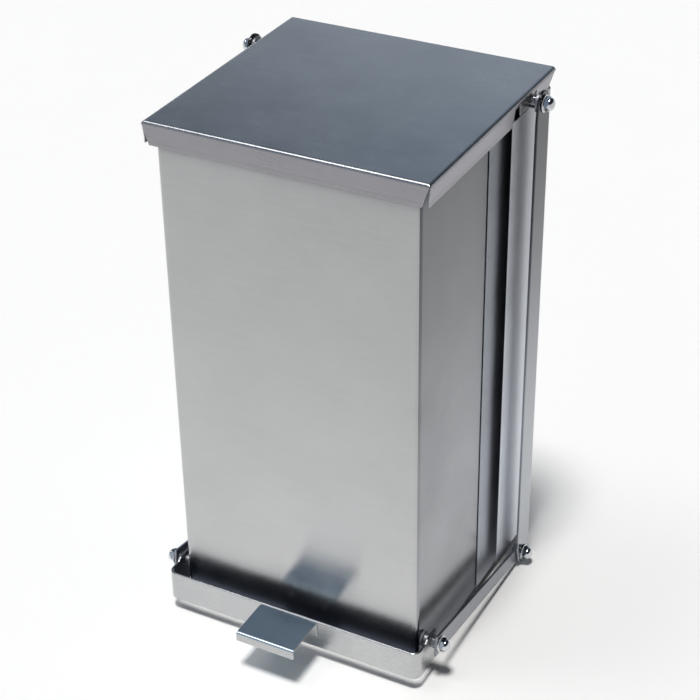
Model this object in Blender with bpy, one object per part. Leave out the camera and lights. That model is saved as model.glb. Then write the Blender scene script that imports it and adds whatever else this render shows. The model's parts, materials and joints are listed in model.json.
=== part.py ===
# Step-on waste receptacle: a square steel box body with a hinged lid, worked by a front pedal.
# X runs across the width, -Y is the front, +Z is up, and the feet stand on Z = 0.

import math

import bmesh
import bpy
from mathutils import Vector

MM = 0.001

# General clearances and roundness
GAP = 0.3 * MM              # between pieces that touch
ROUND_SIDES = 18            # sides of a nut, washer or shaft
RIVET_SIDES = 12            # sides of a rivet, screw or small bore
WIRE_SIDES = 8
CORNER_STEPS = 4            # facets in a bent corner
CUT_PAST = 5 * MM           # how far a cutter runs past what it cuts
SMOOTH_ANGLE = math.radians(32)

# Body box in two shells that lap on the sides
BODY_WIDTH = 304 * MM
BODY_DEPTH = 288 * MM
BODY_HEIGHT = 613 * MM
BODY_BOTTOM = 12 * MM
BODY_SHEET = 1.0 * MM
BODY_CORNER = 6 * MM
BODY_HEM_HEIGHT = 12 * MM
BODY_HEM_THICKNESS = 2.4 * MM
REAR_STRIP = 112 * MM       # from the front shell's back edge to the back of the body
SHELL_LAP = 14 * MM

# Lid, and how far it stands over the body
LID_SIDE_OVERHANG = 13 * MM
LID_FRONT_OVERHANG = 6 * MM
LID_BACK_OVERHANG = 20 * MM
LID_RISE = 7 * MM
LID_SHEET = 1.2 * MM
LID_SKIRT = 25.5 * MM
LID_BEND = 4.5 * MM
LID_CORNER = 1.6 * MM
LID_HEM_HEIGHT = 8 * MM
LID_HEM_THICKNESS = 2.3 * MM
LID_REAR_ALLOWANCE = 20 * MM
CORNER_GAP_WIDTH_LOW = 9.5 * MM
CORNER_GAP_WIDTH_HIGH = 2 * MM
CORNER_GAP_TOP = 4 * MM
SIDE_SKIRT_START = 2.6 * MM
NOTCH_AHEAD = 46 * MM       # of the lid pin
NOTCH_BEHIND = 11 * MM
NOTCH_TOP = 6 * MM          # below the lid's top
REAR_SKIRT = 19.5 * MM
REAR_SLANT_START = 16 * MM  # from the lid's back edge
REAR_SLANT_END = 4 * MM
REAR_SLANT_TOP = 4 * MM

# Pedal and yoke, in front of the body
YOKE_STAND_OFF = 24 * MM
PEDAL_LENGTH = 57 * MM

# Where the body and lid lie when the whole is centred on the origin
OVERALL_DEPTH = PEDAL_LENGTH + YOKE_STAND_OFF + BODY_DEPTH + LID_BACK_OVERHANG
PEDAL_FRONT = -OVERALL_DEPTH / 2
YOKE_FRONT = PEDAL_FRONT + PEDAL_LENGTH
BODY_FRONT = YOKE_FRONT + YOKE_STAND_OFF
BODY_BACK = BODY_FRONT + BODY_DEPTH
BODY_TOP = BODY_BOTTOM + BODY_HEIGHT
BODY_HALF = BODY_WIDTH / 2
FRONT_SHELL_BACK = BODY_BACK - REAR_STRIP
REAR_SHELL_FRONT = FRONT_SHELL_BACK - SHELL_LAP
REAR_SHELL_HALF = BODY_HALF + GAP + BODY_SHEET
LID_FRONT = BODY_FRONT - LID_FRONT_OVERHANG
LID_BACK = BODY_BACK + LID_BACK_OVERHANG
LID_TOP = BODY_TOP + LID_RISE
LID_UNDERSIDE = LID_TOP - LID_SHEET
LID_SKIRT_BOTTOM = LID_TOP - LID_SKIRT
LID_HALF = BODY_HALF + LID_SIDE_OVERHANG

# Floor pan and base frame
PAN_RISE = 60 * MM
PAN_TOP = BODY_BOTTOM + PAN_RISE
PAN_SHEET = 1.5 * MM
PAN_FLANGE = 17 * MM
PAN_BEND = 3 * MM
INNER_HALF = BODY_HALF - BODY_SHEET - GAP
INNER_FRONT = BODY_FRONT + BODY_SHEET + GAP
INNER_BACK = BODY_BACK - BODY_SHEET - GAP
INNER_CORNER = BODY_CORNER - BODY_SHEET
FRAME_LEG = 15 * MM
FRAME_FLANGE = 20 * MM
FRAME_SHEET = 1.5 * MM
FRAME_INNER_CORNER = 4 * MM

# Feet, each pushed into the frame by its own stem
FOOT_HEIGHT = BODY_BOTTOM - GAP
FOOT_RADIUS_LOW = 11 * MM
FOOT_RADIUS_HIGH = 9.6 * MM
FOOT_EDGE = 1.2 * MM
FOOT_INSET = 13.3 * MM
FOOT_STEM = 3.2 * MM
FOOT_BARB = 5 * MM
FOOT_BARB_HEIGHT = 5 * MM

# Lid pins and the angle brackets that hold them
BOLT_RADIUS = 4 * MM
BOLT_BORE = BOLT_RADIUS + GAP
BOLT_HEAD_ACROSS = 13 * MM
BOLT_HEAD_LENGTH = 4.5 * MM
LID_PIN_DROP = 14.5 * MM    # below the lid's top
LID_PIN_AHEAD = 56.3 * MM   # of the hinge
BRACKET_SHEET = 2 * MM
BRACKET_BEND = 3 * MM
BRACKET_LEG = 18 * MM
BRACKET_AHEAD = 29 * MM
BRACKET_BEHIND = 41 * MM
BRACKET_BELOW = 5.5 * MM
LID_PIN_Z = LID_TOP - LID_PIN_DROP
BRACKET_TOP = LID_UNDERSIDE - GAP
BRACKET_BOTTOM = LID_PIN_Z - BRACKET_BELOW
BRACKET_OUTER = LID_HALF - LID_SHEET - GAP
BRACKET_INNER = BRACKET_OUTER - BRACKET_LEG
LID_PIN_HEAD_OUTER = BRACKET_OUTER - BRACKET_SHEET - GAP
LID_PIN_HEAD_INNER = LID_PIN_HEAD_OUTER - BOLT_HEAD_LENGTH

# Rear channel and the two bars that hold it off the body
CHANNEL_SHEET = 1.2 * MM
CHANNEL_SIDE_SLOT = 8.8 * MM
CHANNEL_BACK_SLOT = 14.8 * MM
CHANNEL_DEPTH = 106.5 * MM
CHANNEL_CORNER = 6 * MM
CHANNEL_CHAMFER = 25 * MM
CHANNEL_LIFT = 16 * MM      # above the body's bottom edge
CHANNEL_CLEAR = 1 * MM      # below the lid's brackets
CHANNEL_HALF = REAR_SHELL_HALF + CHANNEL_SIDE_SLOT + CHANNEL_SHEET
CHANNEL_BACK = BODY_BACK + CHANNEL_BACK_SLOT + CHANNEL_SHEET
CHANNEL_FRONT = CHANNEL_BACK - CHANNEL_DEPTH
CHANNEL_BOTTOM = BODY_BOTTOM + CHANNEL_LIFT
CHANNEL_TOP = BRACKET_BOTTOM - CHANNEL_CLEAR
BAR_SHEET = 1.5 * MM
BAR_SHORTER = 24 * MM       # than the body's width
BAR_LENGTH = BODY_WIDTH - BAR_SHORTER
BAR_HEIGHT = 30 * MM
BAR_WEB = 16 * MM
BAR_FROM_END = {"lower": 52 * MM, "upper": 51 * MM}

# Hinge along the back
HINGE_SHEET = 1.2 * MM
HINGE_PIN_RADIUS = 2.7 * MM
CURL_INNER = HINGE_PIN_RADIUS + GAP
CURL_OUTER = CURL_INNER + HINGE_SHEET
HINGE_Y = CHANNEL_BACK + GAP + HINGE_SHEET - CURL_OUTER
HINGE_Z = LID_UNDERSIDE - GAP - CURL_OUTER
CURL_TURN = 285             # degrees that a knuckle wraps round the pin
CURL_STEPS = 9
HINGE_SHORTER = 24 * MM     # than the body's width
HINGE_LENGTH = BODY_WIDTH - HINGE_SHORTER
KNUCKLES = 7
KNUCKLE_CLEAR = 0.6 * MM
LID_LEAF_DEPTH = 30 * MM
LEAF_OVERLAP = 26 * MM      # of the fixed leaf on the channel
FIXED_LEAF_BOTTOM = CHANNEL_TOP - LEAF_OVERLAP
HINGE_RIVETS = 3
HINGE_RIVET_MARGIN = 30 * MM
HINGE_RIVET_PITCH = (HINGE_LENGTH - 2 * HINGE_RIVET_MARGIN) / (HINGE_RIVETS - 1)
HINGE_RIVET_DROP = 14 * MM
HINGE_RIVET_Z = CHANNEL_TOP - HINGE_RIVET_DROP
LID_PIN_Y = HINGE_Y - LID_PIN_AHEAD
BRACKET_FRONT = LID_PIN_Y - BRACKET_AHEAD
BRACKET_BACK = LID_PIN_Y + BRACKET_BEHIND

# Rivets
RIVET_RADIUS = 1.9 * MM
RIVET_HEAD = 3.6 * MM
RIVET_HEAD_HEIGHT = 1.5 * MM
PEDAL_RIVET_RADIUS = 2.4 * MM
PEDAL_RIVET_HEAD = 4.6 * MM

# Stations across the width, outside the body on each side
FLAT_BAR = 3.2 * MM         # thickness of the arms, straps and yoke
JAM_NUT_LENGTH = 5.8 * MM
JAM_NUT_ACROSS = 13 * MM
YOKE_OUTER = LID_HALF
ARM_INNER = YOKE_OUTER + GAP + JAM_NUT_LENGTH + GAP
ARM_OUTER = ARM_INNER + FLAT_BAR
STRAP_INNER = ARM_OUTER + GAP
STRAP_OUTER = STRAP_INNER + FLAT_BAR
WASHER_RADIUS = 11.6 * MM
CAP_NUT_FLANGE = 1.6 * MM
CAP_NUT_LENGTH = 11.6 * MM
CAP_NUT_ACROSS = 14.5 * MM
CAP_NUT_HEX = 6.4 * MM
CAP_NUT_BORE_DEPTH = 8.4 * MM
LID_NUT_INNER = BRACKET_OUTER + GAP

# Lever: cross shaft, yoke, pedal plate and the two arms
PIVOT_BEHIND = 14 * MM      # the body's front
PIVOT_RISE = 35 * MM        # above the body's bottom edge
PIVOT_Y = BODY_FRONT + PIVOT_BEHIND
PIVOT_Z = BODY_BOTTOM + PIVOT_RISE
LINK_Y = LID_PIN_Y
LINK_Z = BODY_BOTTOM + 4 * MM
SHAFT_RADIUS = 4 * MM
SHAFT_BORE = SHAFT_RADIUS + GAP
YOKE_HEIGHT = 38 * MM
YOKE_LIFT = 4 * MM          # above the body's bottom edge
YOKE_CORNER = 11 * MM
YOKE_BOTTOM = BODY_BOTTOM + YOKE_LIFT
YOKE_TOP = YOKE_BOTTOM + YOKE_HEIGHT
EAR_PAST_PIVOT = 11 * MM
EAR_AHEAD_OF_PIVOT = 11 * MM
EAR_RAMP = 6 * MM
EAR_RISE = 4 * MM
YOKE_END = PIVOT_Y + EAR_PAST_PIVOT
EAR_TOP = YOKE_TOP + EAR_RISE
ARM_HEIGHT_FRONT = 25.4 * MM
ARM_HEIGHT_BACK = 18 * MM
ARM_AHEAD = 9 * MM
ARM_BEHIND = 12 * MM
PEDAL_WIDTH = 74 * MM
PEDAL_SHEET = 2 * MM
PEDAL_BEND = 3.5 * MM
PEDAL_LIP = 12 * MM
PEDAL_FLANGE = 20 * MM
PEDAL_RIVET_MARGIN = 15 * MM
PEDAL_RIVET_DROP = 12.5 * MM
PEDAL_RIVET_X = PEDAL_WIDTH / 2 - PEDAL_RIVET_MARGIN
BUSHING_FLANGE = 9 * MM
BUSHING_WALL = 1.3 * MM
BUSHING_FLANGE_LENGTH = 3 * MM
BUSHING_INSIDE = 3 * MM
SPACER_RADIUS = 7 * MM
LINK_HEAD_LENGTH = 5.1 * MM

# Lift straps
STRAP_WIDTH = 32 * MM
STRAP_SHOULDER_TOP = 1.8 * MM
STRAP_SHOULDER_LOW = 3 * MM
STRAP_TAPER_TOP = 18 * MM   # below the lid pin, where the strap has its full width
STRAP_TAPER_LOW = 10 * MM
STRAP_END_STEPS = 8
# The strap hole is oval: the lid pin drifts this far in it halfway through the lid's travel
SLOT_DRIFT_FRONT = 7.5 * MM
SLOT_DRIFT_UP = 2.0 * MM
SLOT_RADIUS = BOLT_BORE + GAP

# Rubber bumpers on the front wall's top edge
BUMPER_LENGTH = 30 * MM
BUMPER_FROM_SIDE = 47 * MM
BUMPER_X = BODY_HALF - BUMPER_FROM_SIDE
BUMPER_LEG = 2.4 * MM
BUMPER_DROP = 9 * MM
BUMPER_CHAMFER = 1.5 * MM

# Inner pail
PAIL_SHEET = 0.8 * MM
PAIL_SIDE_CLEAR = 11.7 * MM
PAIL_END_CLEAR = 8.7 * MM
PAIL_RIM_DROP = 40 * MM     # below the body's top
PAIL_TAPER = 11 * MM
PAIL_CORNER = 34 * MM
PAIL_BEND = 5 * MM
PAIL_CORNER_STEPS = 5
PAIL_BOTTOM = PAN_TOP + GAP
PAIL_RIM = BODY_TOP - PAIL_RIM_DROP
PAIL_HALF_X = INNER_HALF - PAIL_SIDE_CLEAR
PAIL_HALF_Y = (INNER_BACK - INNER_FRONT) / 2 - PAIL_END_CLEAR
PAIL_CENTRE_Y = (BODY_FRONT + BODY_BACK) / 2
RIM_WIRE = 1.9 * MM
RIM_CURL_INNER = RIM_WIRE + 2 * GAP
RIM_CURL_OUTER = RIM_CURL_INNER + PAIL_SHEET
RIM_CURL_ANGLES = (180, 135, 90, 45, 0, -45, -90)
RIM_CENTRE_Z = PAIL_RIM - RIM_CURL_OUTER
BAIL_WIRE = 2.2 * MM
BAIL_Z = PAIL_RIM + GAP + BAIL_WIRE
BAIL_CORNER = 26 * MM
BAIL_HOOK_BEND = BAIL_WIRE + GAP / 2
EAR_SHEET = 1.5 * MM
EAR_WIDTH = 26 * MM
EAR_DROP = 35 * MM          # of the plate below the rim
EAR_RIVET_DROP = 21 * MM
EAR_OVER_BAIL = 8 * MM
EAR_CORNER = 5 * MM
EAR_BOTTOM = PAIL_RIM - EAR_DROP
EAR_PLATE_TOP = BAIL_Z + EAR_OVER_BAIL
EAR_RIVET_Z = PAIL_RIM - EAR_RIVET_DROP


def make_finish(name, colour, roughness, metallic):
    material = bpy.data.materials.new(name)
    material.use_nodes = True
    shader = material.node_tree.nodes["Principled BSDF"]
    shader.inputs["Base Color"].default_value = (*colour, 1.0)
    shader.inputs["Roughness"].default_value = roughness
    shader.inputs["Metallic"].default_value = metallic
    material.diffuse_color = (*colour, 1.0)
    return material


def make_object(name, bm, finish, parent=None):
    """One piece from a closed mesh in world coordinates; a moving piece hangs on the empty at its axis."""
    origin = parent.location if parent else Vector((0, 0, 0))
    bmesh.ops.translate(bm, verts=bm.verts, vec=-origin)
    bmesh.ops.recalc_face_normals(bm, faces=bm.faces)
    mesh = bpy.data.meshes.new(name)
    bm.to_mesh(mesh)
    bm.free()
    mesh.shade_smooth()
    mesh.set_sharp_from_angle(angle=SMOOTH_ANGLE)
    mesh.materials.append(finish)
    piece = bpy.data.objects.new(name, mesh)
    piece.parent = parent
    bpy.context.scene.collection.objects.link(piece)
    return piece


def make_axis(name, y, z, x=0.0):
    """An empty on a joint's axis."""
    empty = bpy.data.objects.new(name, None)
    empty.location = (x, y, z)
    empty.empty_display_size = LID_SKIRT
    bpy.context.scene.collection.objects.link(empty)
    return empty


def cut(piece, bm):
    """Takes the shapes in bm, given in world coordinates, out of a piece."""
    bmesh.ops.recalc_face_normals(bm, faces=bm.faces)
    mesh = bpy.data.meshes.new(piece.name + "_cutter")
    bm.to_mesh(mesh)
    bm.free()
    cutter = bpy.data.objects.new(mesh.name, mesh)
    cutter.hide_render = True
    cutter.display_type = "WIRE"
    bpy.context.scene.collection.objects.link(cutter)
    modifier = piece.modifiers.new("cut", "BOOLEAN")
    modifier.operation = "DIFFERENCE"
    modifier.solver = "EXACT"
    modifier.object = cutter


def add_loops(bm, loops, ring=False):
    """Joins loops of points, each with the same count, into a closed body."""
    rows = [[bm.verts.new(point) for point in loop] for loop in loops]
    count = len(rows[0])
    pairs = list(zip(rows, rows[1:]))
    if ring:
        pairs.append((rows[-1], rows[0]))
    else:
        bm.faces.new(rows[0])
        bm.faces.new(list(reversed(rows[-1])))
    for row, following in pairs:
        for i in range(count):
            j = (i + 1) % count
            bm.faces.new((row[i], row[j], following[j], following[i]))


# How a point (u, v) of a section across an axis, and its place along that axis, make a point in space
AXIS_POINT = {
    "X": lambda u, v, along: (along, u, v),
    "Y": lambda u, v, along: (u, along, v),
    "Z": lambda u, v, along: (u, v, along),
}


def add_prism(bm, axis, outline, start, end):
    """An outline pushed along an axis."""
    place = AXIS_POINT[axis]
    add_loops(bm, [[place(u, v, along) for u, v in outline] for along in (start, end)])


def add_box(bm, low, high):
    outline = [(low[0], low[1]), (high[0], low[1]), (high[0], high[1]), (low[0], high[1])]
    add_prism(bm, "Z", outline, low[2], high[2])


def ring_radius(angle, across):
    """Distance from the centre of a hexagon to its side at an angle."""
    sixth = math.pi / 3
    return across / 2 / math.cos(angle % sixth - sixth / 2)


def add_turned(bm, centre, stations, axis="X", sides=ROUND_SIDES, ring=False):
    """Round and hexagonal sections, each (distance along, radius or width across flats, shape)."""
    loops = []
    for along, size, shape in stations:
        loop = []
        for i in range(sides):
            angle = math.tau * i / sides
            radius = size if shape == "round" else ring_radius(angle, size)
            u = centre[0] + radius * math.cos(angle)
            v = centre[1] + radius * math.sin(angle)
            loop.append(AXIS_POINT[axis](u, v, along))
        loops.append(loop)
    add_loops(bm, loops, ring)


def add_tube(bm, centre, start, end, outer, bore, shape):
    """A section with a round bore through it."""
    stations = ((start, outer, shape), (end, outer, shape), (end, bore, "round"), (start, bore, "round"))
    add_turned(bm, centre, stations, ring=True)


def add_rivet(bm, centre, head_face, tail_face, axis="X", radius=RIVET_RADIUS, head=RIVET_HEAD):
    """A rivet through a stack from head_face to tail_face, with a head on each end."""
    way = 1 if head_face > tail_face else -1
    crown = 0.55
    stations = [
        (head_face + way * RIVET_HEAD_HEIGHT, head * crown, "round"),
        (head_face + way * RIVET_HEAD_HEIGHT / 2, head, "round"),
        (head_face + way * GAP, head, "round"),
        (head_face + way * GAP, radius, "round"),
        (tail_face - way * GAP, radius, "round"),
        (tail_face - way * GAP, head, "round"),
        (tail_face - way * (RIVET_HEAD_HEIGHT - GAP), head * crown, "round"),
    ]
    add_turned(bm, centre, stations, axis, RIVET_SIDES)


def make_cap_nut(name, centre, side, inner, bore, finish, axis):
    """A domed nut on a round flange, closed on the outside, from the station inner outwards."""
    dome = CAP_NUT_ACROSS / 2
    rise = CAP_NUT_LENGTH - CAP_NUT_HEX
    profile = (
        (CAP_NUT_BORE_DEPTH, bore, "round"),
        (0, bore, "round"),
        (0, WASHER_RADIUS, "round"),
        (CAP_NUT_FLANGE, WASHER_RADIUS, "round"),
        (CAP_NUT_FLANGE, CAP_NUT_ACROSS, "hex"),
        (CAP_NUT_HEX, CAP_NUT_ACROSS, "hex"),
        (CAP_NUT_HEX, dome * 0.96, "round"),
        (CAP_NUT_HEX + rise * 0.55, dome * 0.82, "round"),
        (CAP_NUT_HEX + rise * 0.9, dome * 0.45, "round"),
        (CAP_NUT_LENGTH, dome * 0.15, "round"),
    )
    bm = bmesh.new()
    add_turned(bm, centre, [(side * (inner + along), size, shape) for along, size, shape in profile])
    make_object(name + "_" + side_name(side), bm, finish, axis)


def rounded_loop(half_x, front, back, radius, z, steps=CORNER_STEPS):
    """A level rectangle with rounded corners."""
    points = []
    corners = (
        (half_x - radius, back - radius, 0),
        (radius - half_x, back - radius, 90),
        (radius - half_x, front + radius, 180),
        (half_x - radius, front + radius, 270),
    )
    for x, y, start in corners:
        for i in range(steps + 1):
            angle = math.radians(start + 90 * i / steps)
            points.append((x + radius * math.cos(angle), y + radius * math.sin(angle), z))
    return points


def bend(points, radius, steps=CORNER_STEPS):
    """Rounds the inner corners of an open line of 2D points."""
    rounded = [points[0]]
    for before, corner, after in zip(points, points[1:], points[2:]):
        corner = Vector(corner)
        inward = (Vector(before) - corner).normalized()
        onward = (Vector(after) - corner).normalized()
        half = inward.angle(onward) / 2
        reach = radius / math.tan(half)
        centre = corner + (inward + onward).normalized() * radius / math.sin(half)
        start = corner + inward * reach - centre
        turn = (corner + onward * reach - centre).angle_signed(start)
        for i in range(steps + 1):
            angle = turn * i / steps
            spoke = Vector((
                start.x * math.cos(angle) - start.y * math.sin(angle),
                start.x * math.sin(angle) + start.y * math.cos(angle),
            ))
            rounded.append(tuple(centre + spoke))
    rounded.append(points[-1])
    return rounded


def offsets(path):
    """The left-hand mitre direction at each point of an open path."""
    result = []
    ways = [(Vector(b) - Vector(a)).normalized() for a, b in zip(path, path[1:])]
    for before, after in zip([ways[0]] + ways, ways + [ways[-1]]):
        left = Vector((-before.y - after.y, before.x + after.x)).normalized()
        result.append(left / max(left.dot(Vector((-after.y, after.x))), 0.2))
    return result


def band(path, thickness):
    """The outline of sheet that follows a path, on its left, or on its right where thickness is negative."""
    moved = [tuple(Vector(point) + left * thickness) for point, left in zip(path, offsets(path))]
    return list(path) + moved[::-1]


def add_sweep(bm, path, section):
    """A section of (inward, z) points carried along a level path whose inside is on the left."""
    lefts = offsets(path)
    loops = []
    for i, (point, left) in enumerate(zip(path, lefts)):
        points = section(i) if callable(section) else section
        loops.append([(point[0] + left.x * inward, point[1] + left.y * inward, z) for inward, z in points])
    add_loops(bm, loops)


def arc(centre, radius, start, turn, steps):
    """Points on a circle, with angles in degrees."""
    points = []
    for i in range(steps + 1):
        angle = math.radians(start + turn * i / steps)
        points.append((centre[0] + radius * math.cos(angle), centre[1] + radius * math.sin(angle)))
    return points


def side_name(side):
    return "right" if side > 0 else "left"


def make_lid(steel, axis):
    bm = bmesh.new()
    back = LID_BACK + LID_REAR_ALLOWANCE
    bends = (90, 60, 30, 0)
    loops = []
    for degrees in bends:
        inset = LID_BEND * (1 - math.cos(math.radians(degrees)))
        drop = LID_BEND * (1 - math.sin(math.radians(degrees)))
        loops.append(
            rounded_loop(LID_HALF - inset, LID_FRONT + inset, back - inset, LID_CORNER, LID_TOP - drop, 1)
        )
    loops.append(rounded_loop(LID_HALF, LID_FRONT, back, LID_CORNER, LID_SKIRT_BOTTOM, 1))
    inner_corner = LID_CORNER - LID_SHEET
    inner_half = LID_HALF - LID_SHEET
    inner_back = back - LID_SHEET
    for y_inset, z in (
        (LID_HEM_THICKNESS, LID_SKIRT_BOTTOM),
        (LID_HEM_THICKNESS, LID_SKIRT_BOTTOM + LID_HEM_HEIGHT),
        (LID_SHEET, LID_SKIRT_BOTTOM + LID_HEM_HEIGHT + LID_HEM_THICKNESS - LID_SHEET),
    ):
        loops.append(rounded_loop(inner_half, LID_FRONT + y_inset, inner_back, inner_corner, z, 1))
    inner_bend = LID_BEND - LID_SHEET
    for degrees in reversed(bends):
        inset = inner_bend * (1 - math.cos(math.radians(degrees)))
        drop = inner_bend * (1 - math.sin(math.radians(degrees)))
        front = LID_FRONT + LID_SHEET + inset
        loops.append(
            rounded_loop(inner_half - inset, front, inner_back - inset, inner_corner, LID_UNDERSIDE - drop, 1)
        )
    add_loops(bm, loops)
    lid = make_object("lid", bm, steel, axis)

    # The skirt's ends: a notch over the pin bracket, a shallower rear part with a slanted end, no rear skirt
    low = LID_SKIRT_BOTTOM - CUT_PAST
    rear_bottom = LID_TOP - REAR_SKIRT
    profile = [
        (LID_PIN_Y - NOTCH_AHEAD, low),
        (LID_PIN_Y - NOTCH_AHEAD, LID_TOP - NOTCH_TOP),
        (LID_PIN_Y + NOTCH_BEHIND, LID_TOP - NOTCH_TOP),
        (LID_PIN_Y + NOTCH_BEHIND, rear_bottom),
        (LID_BACK - REAR_SLANT_START, rear_bottom),
        (LID_BACK - REAR_SLANT_END, LID_TOP - REAR_SLANT_TOP),
        (LID_BACK, LID_TOP - REAR_SLANT_TOP),
        (LID_BACK, LID_TOP + CUT_PAST),
        (back + CUT_PAST, LID_TOP + CUT_PAST),
        (back + CUT_PAST, low),
    ]
    tools = bmesh.new()
    add_prism(tools, "X", profile, -LID_HALF - CUT_PAST, LID_HALF + CUT_PAST)
    for side in (-1, 1):
        outline = [
            (side * (LID_HALF - CORNER_GAP_WIDTH_LOW), low),
            (side * (LID_HALF - CORNER_GAP_WIDTH_LOW), LID_SKIRT_BOTTOM),
            (side * (LID_HALF - CORNER_GAP_WIDTH_HIGH), LID_TOP - CORNER_GAP_TOP),
            (side * (LID_HALF + CUT_PAST), LID_TOP - CORNER_GAP_TOP),
            (side * (LID_HALF + CUT_PAST), low),
        ]
        add_prism(tools, "Y", outline, LID_FRONT - CUT_PAST, LID_FRONT + SIDE_SKIRT_START)
    cut(lid, tools)


def make_pin_bracket(side, zinc, axis):
    """An angle under the lid that holds the lid pin in the skirt's notch."""
    bm = bmesh.new()
    corner = [
        (BRACKET_INNER, BRACKET_TOP),
        (BRACKET_OUTER, BRACKET_TOP),
        (BRACKET_OUTER, BRACKET_BOTTOM),
    ]
    outline = [(side * x, z) for x, z in band(bend(corner, BRACKET_BEND), -BRACKET_SHEET)]
    add_prism(bm, "Y", outline, BRACKET_FRONT, BRACKET_BACK)
    bracket = make_object("lid_pin_bracket_" + side_name(side), bm, zinc, axis)
    tools = bmesh.new()
    bore_start = BRACKET_OUTER - BRACKET_SHEET - BRACKET_BEND
    stations = [(side * x, BOLT_BORE, "round") for x in (bore_start, BRACKET_OUTER + CUT_PAST)]
    add_turned(tools, (LID_PIN_Y, LID_PIN_Z), stations)
    cut(bracket, tools)


def make_lid_pin(side, chrome, axis):
    """A bolt with its head inside the bracket and its end in the cap nut."""
    bm = bmesh.new()
    end = STRAP_OUTER + GAP + CAP_NUT_BORE_DEPTH - GAP
    stations = [
        (side * LID_PIN_HEAD_INNER, BOLT_HEAD_ACROSS, "hex"),
        (side * LID_PIN_HEAD_OUTER, BOLT_HEAD_ACROSS, "hex"),
        (side * LID_PIN_HEAD_OUTER, BOLT_RADIUS, "round"),
        (side * end, BOLT_RADIUS, "round"),
    ]
    add_turned(bm, (LID_PIN_Y, LID_PIN_Z), stations)
    make_object("lid_pin_" + side_name(side), bm, chrome, axis)


def make_ring(name, centre, side, start, end, outer, finish, axis, bore=BOLT_BORE, shape="round"):
    """A spacer or a nut on one side of the body."""
    bm = bmesh.new()
    add_tube(bm, centre, side * start, side * end, outer, bore, shape)
    make_object(name + "_" + side_name(side), bm, finish, axis)


def make_lid_hardware(side, zinc, chrome, axis):
    centre = (LID_PIN_Y, LID_PIN_Z)
    make_pin_bracket(side, zinc, axis)
    make_lid_pin(side, chrome, axis)
    nut_outer = ARM_INNER - GAP
    make_ring("lid_pin_nut", centre, side, LID_NUT_INNER, nut_outer, JAM_NUT_ACROSS, chrome, axis, shape="hex")
    make_ring("lid_pin_spacer", centre, side, ARM_INNER, ARM_OUTER, WASHER_RADIUS, zinc, axis)
    make_cap_nut("lid_pin_cap_nut", centre, side, STRAP_OUTER + GAP, BOLT_BORE, chrome, axis)


def knuckle_slots(first, low, high):
    """Boxes that clear the other leaf's knuckles, from the knuckle number given and every second one."""
    tools = bmesh.new()
    pitch = HINGE_LENGTH / KNUCKLES
    for number in range(first, KNUCKLES, 2):
        start = number * pitch - HINGE_LENGTH / 2 - GAP / 2
        end = start + pitch + GAP
        if number == 0:
            start -= CUT_PAST
        if number == KNUCKLES - 1:
            end += CUT_PAST
        add_box(tools, (start, low[0], low[1]), (end, high[0], high[1]))
    return tools


def make_hinge(steel, zinc, lid_axis):
    """A piano hinge: its lid leaf lies under the lid, its fixed leaf on the back of the channel."""
    centre = (HINGE_Y, HINGE_Z)
    half = HINGE_LENGTH / 2
    reach = CURL_OUTER + CUT_PAST

    top = HINGE_Z + CURL_OUTER
    line = [(HINGE_Y - LID_LEAF_DEPTH, top)] + arc(centre, CURL_OUTER, 90, -CURL_TURN, CURL_STEPS)
    bm = bmesh.new()
    add_prism(bm, "X", band(line, -HINGE_SHEET), -half, half)
    leaf = make_object("hinge_leaf_lid", bm, steel, lid_axis)
    clear = CURL_OUTER + KNUCKLE_CLEAR
    cut(leaf, knuckle_slots(0, (HINGE_Y - clear, HINGE_Z - reach), (HINGE_Y + reach, HINGE_Z + reach)))

    back = HINGE_Y + CURL_OUTER
    line = [(back, FIXED_LEAF_BOTTOM)] + arc(centre, CURL_OUTER, 0, CURL_TURN, CURL_STEPS)
    bm = bmesh.new()
    add_prism(bm, "X", band(line, HINGE_SHEET), -half, half)
    leaf = make_object("hinge_leaf_fixed", bm, steel)
    tools = knuckle_slots(1, (HINGE_Y - reach, HINGE_Z - clear), (HINGE_Y + reach, HINGE_Z + reach))
    add_hinge_bores(tools, back + CUT_PAST)
    cut(leaf, tools)

    bm = bmesh.new()
    stations = [(x, HINGE_PIN_RADIUS, "round") for x in (-half, half)]
    add_turned(bm, centre, stations, sides=RIVET_SIDES)
    make_object("hinge_pin", bm, zinc)

    for number, x in enumerate(hinge_rivet_places(), 1):
        bm = bmesh.new()
        add_rivet(bm, (x, HINGE_RIVET_Z), back, CHANNEL_BACK - CHANNEL_SHEET, "Y")
        make_object(f"hinge_rivet_{number}", bm, zinc)


def hinge_rivet_places():
    middle = (HINGE_RIVETS - 1) / 2
    return [(i - middle) * HINGE_RIVET_PITCH for i in range(HINGE_RIVETS)]


def add_hinge_bores(bm, back):
    front = CHANNEL_BACK - CHANNEL_SHEET - CUT_PAST
    for x in hinge_rivet_places():
        stations = [(y, RIVET_RADIUS + GAP, "round") for y in (front, back)]
        add_turned(bm, (x, HINGE_RIVET_Z), stations, "Y", RIVET_SIDES)


def shell_section(thickness, top):
    """Sheet with its top edge folded inwards."""
    return [
        (0, BODY_BOTTOM),
        (0, top),
        (BODY_HEM_THICKNESS, top),
        (BODY_HEM_THICKNESS, top - BODY_HEM_HEIGHT),
        (thickness, top - BODY_HEM_HEIGHT),
        (thickness, BODY_BOTTOM),
    ]


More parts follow.
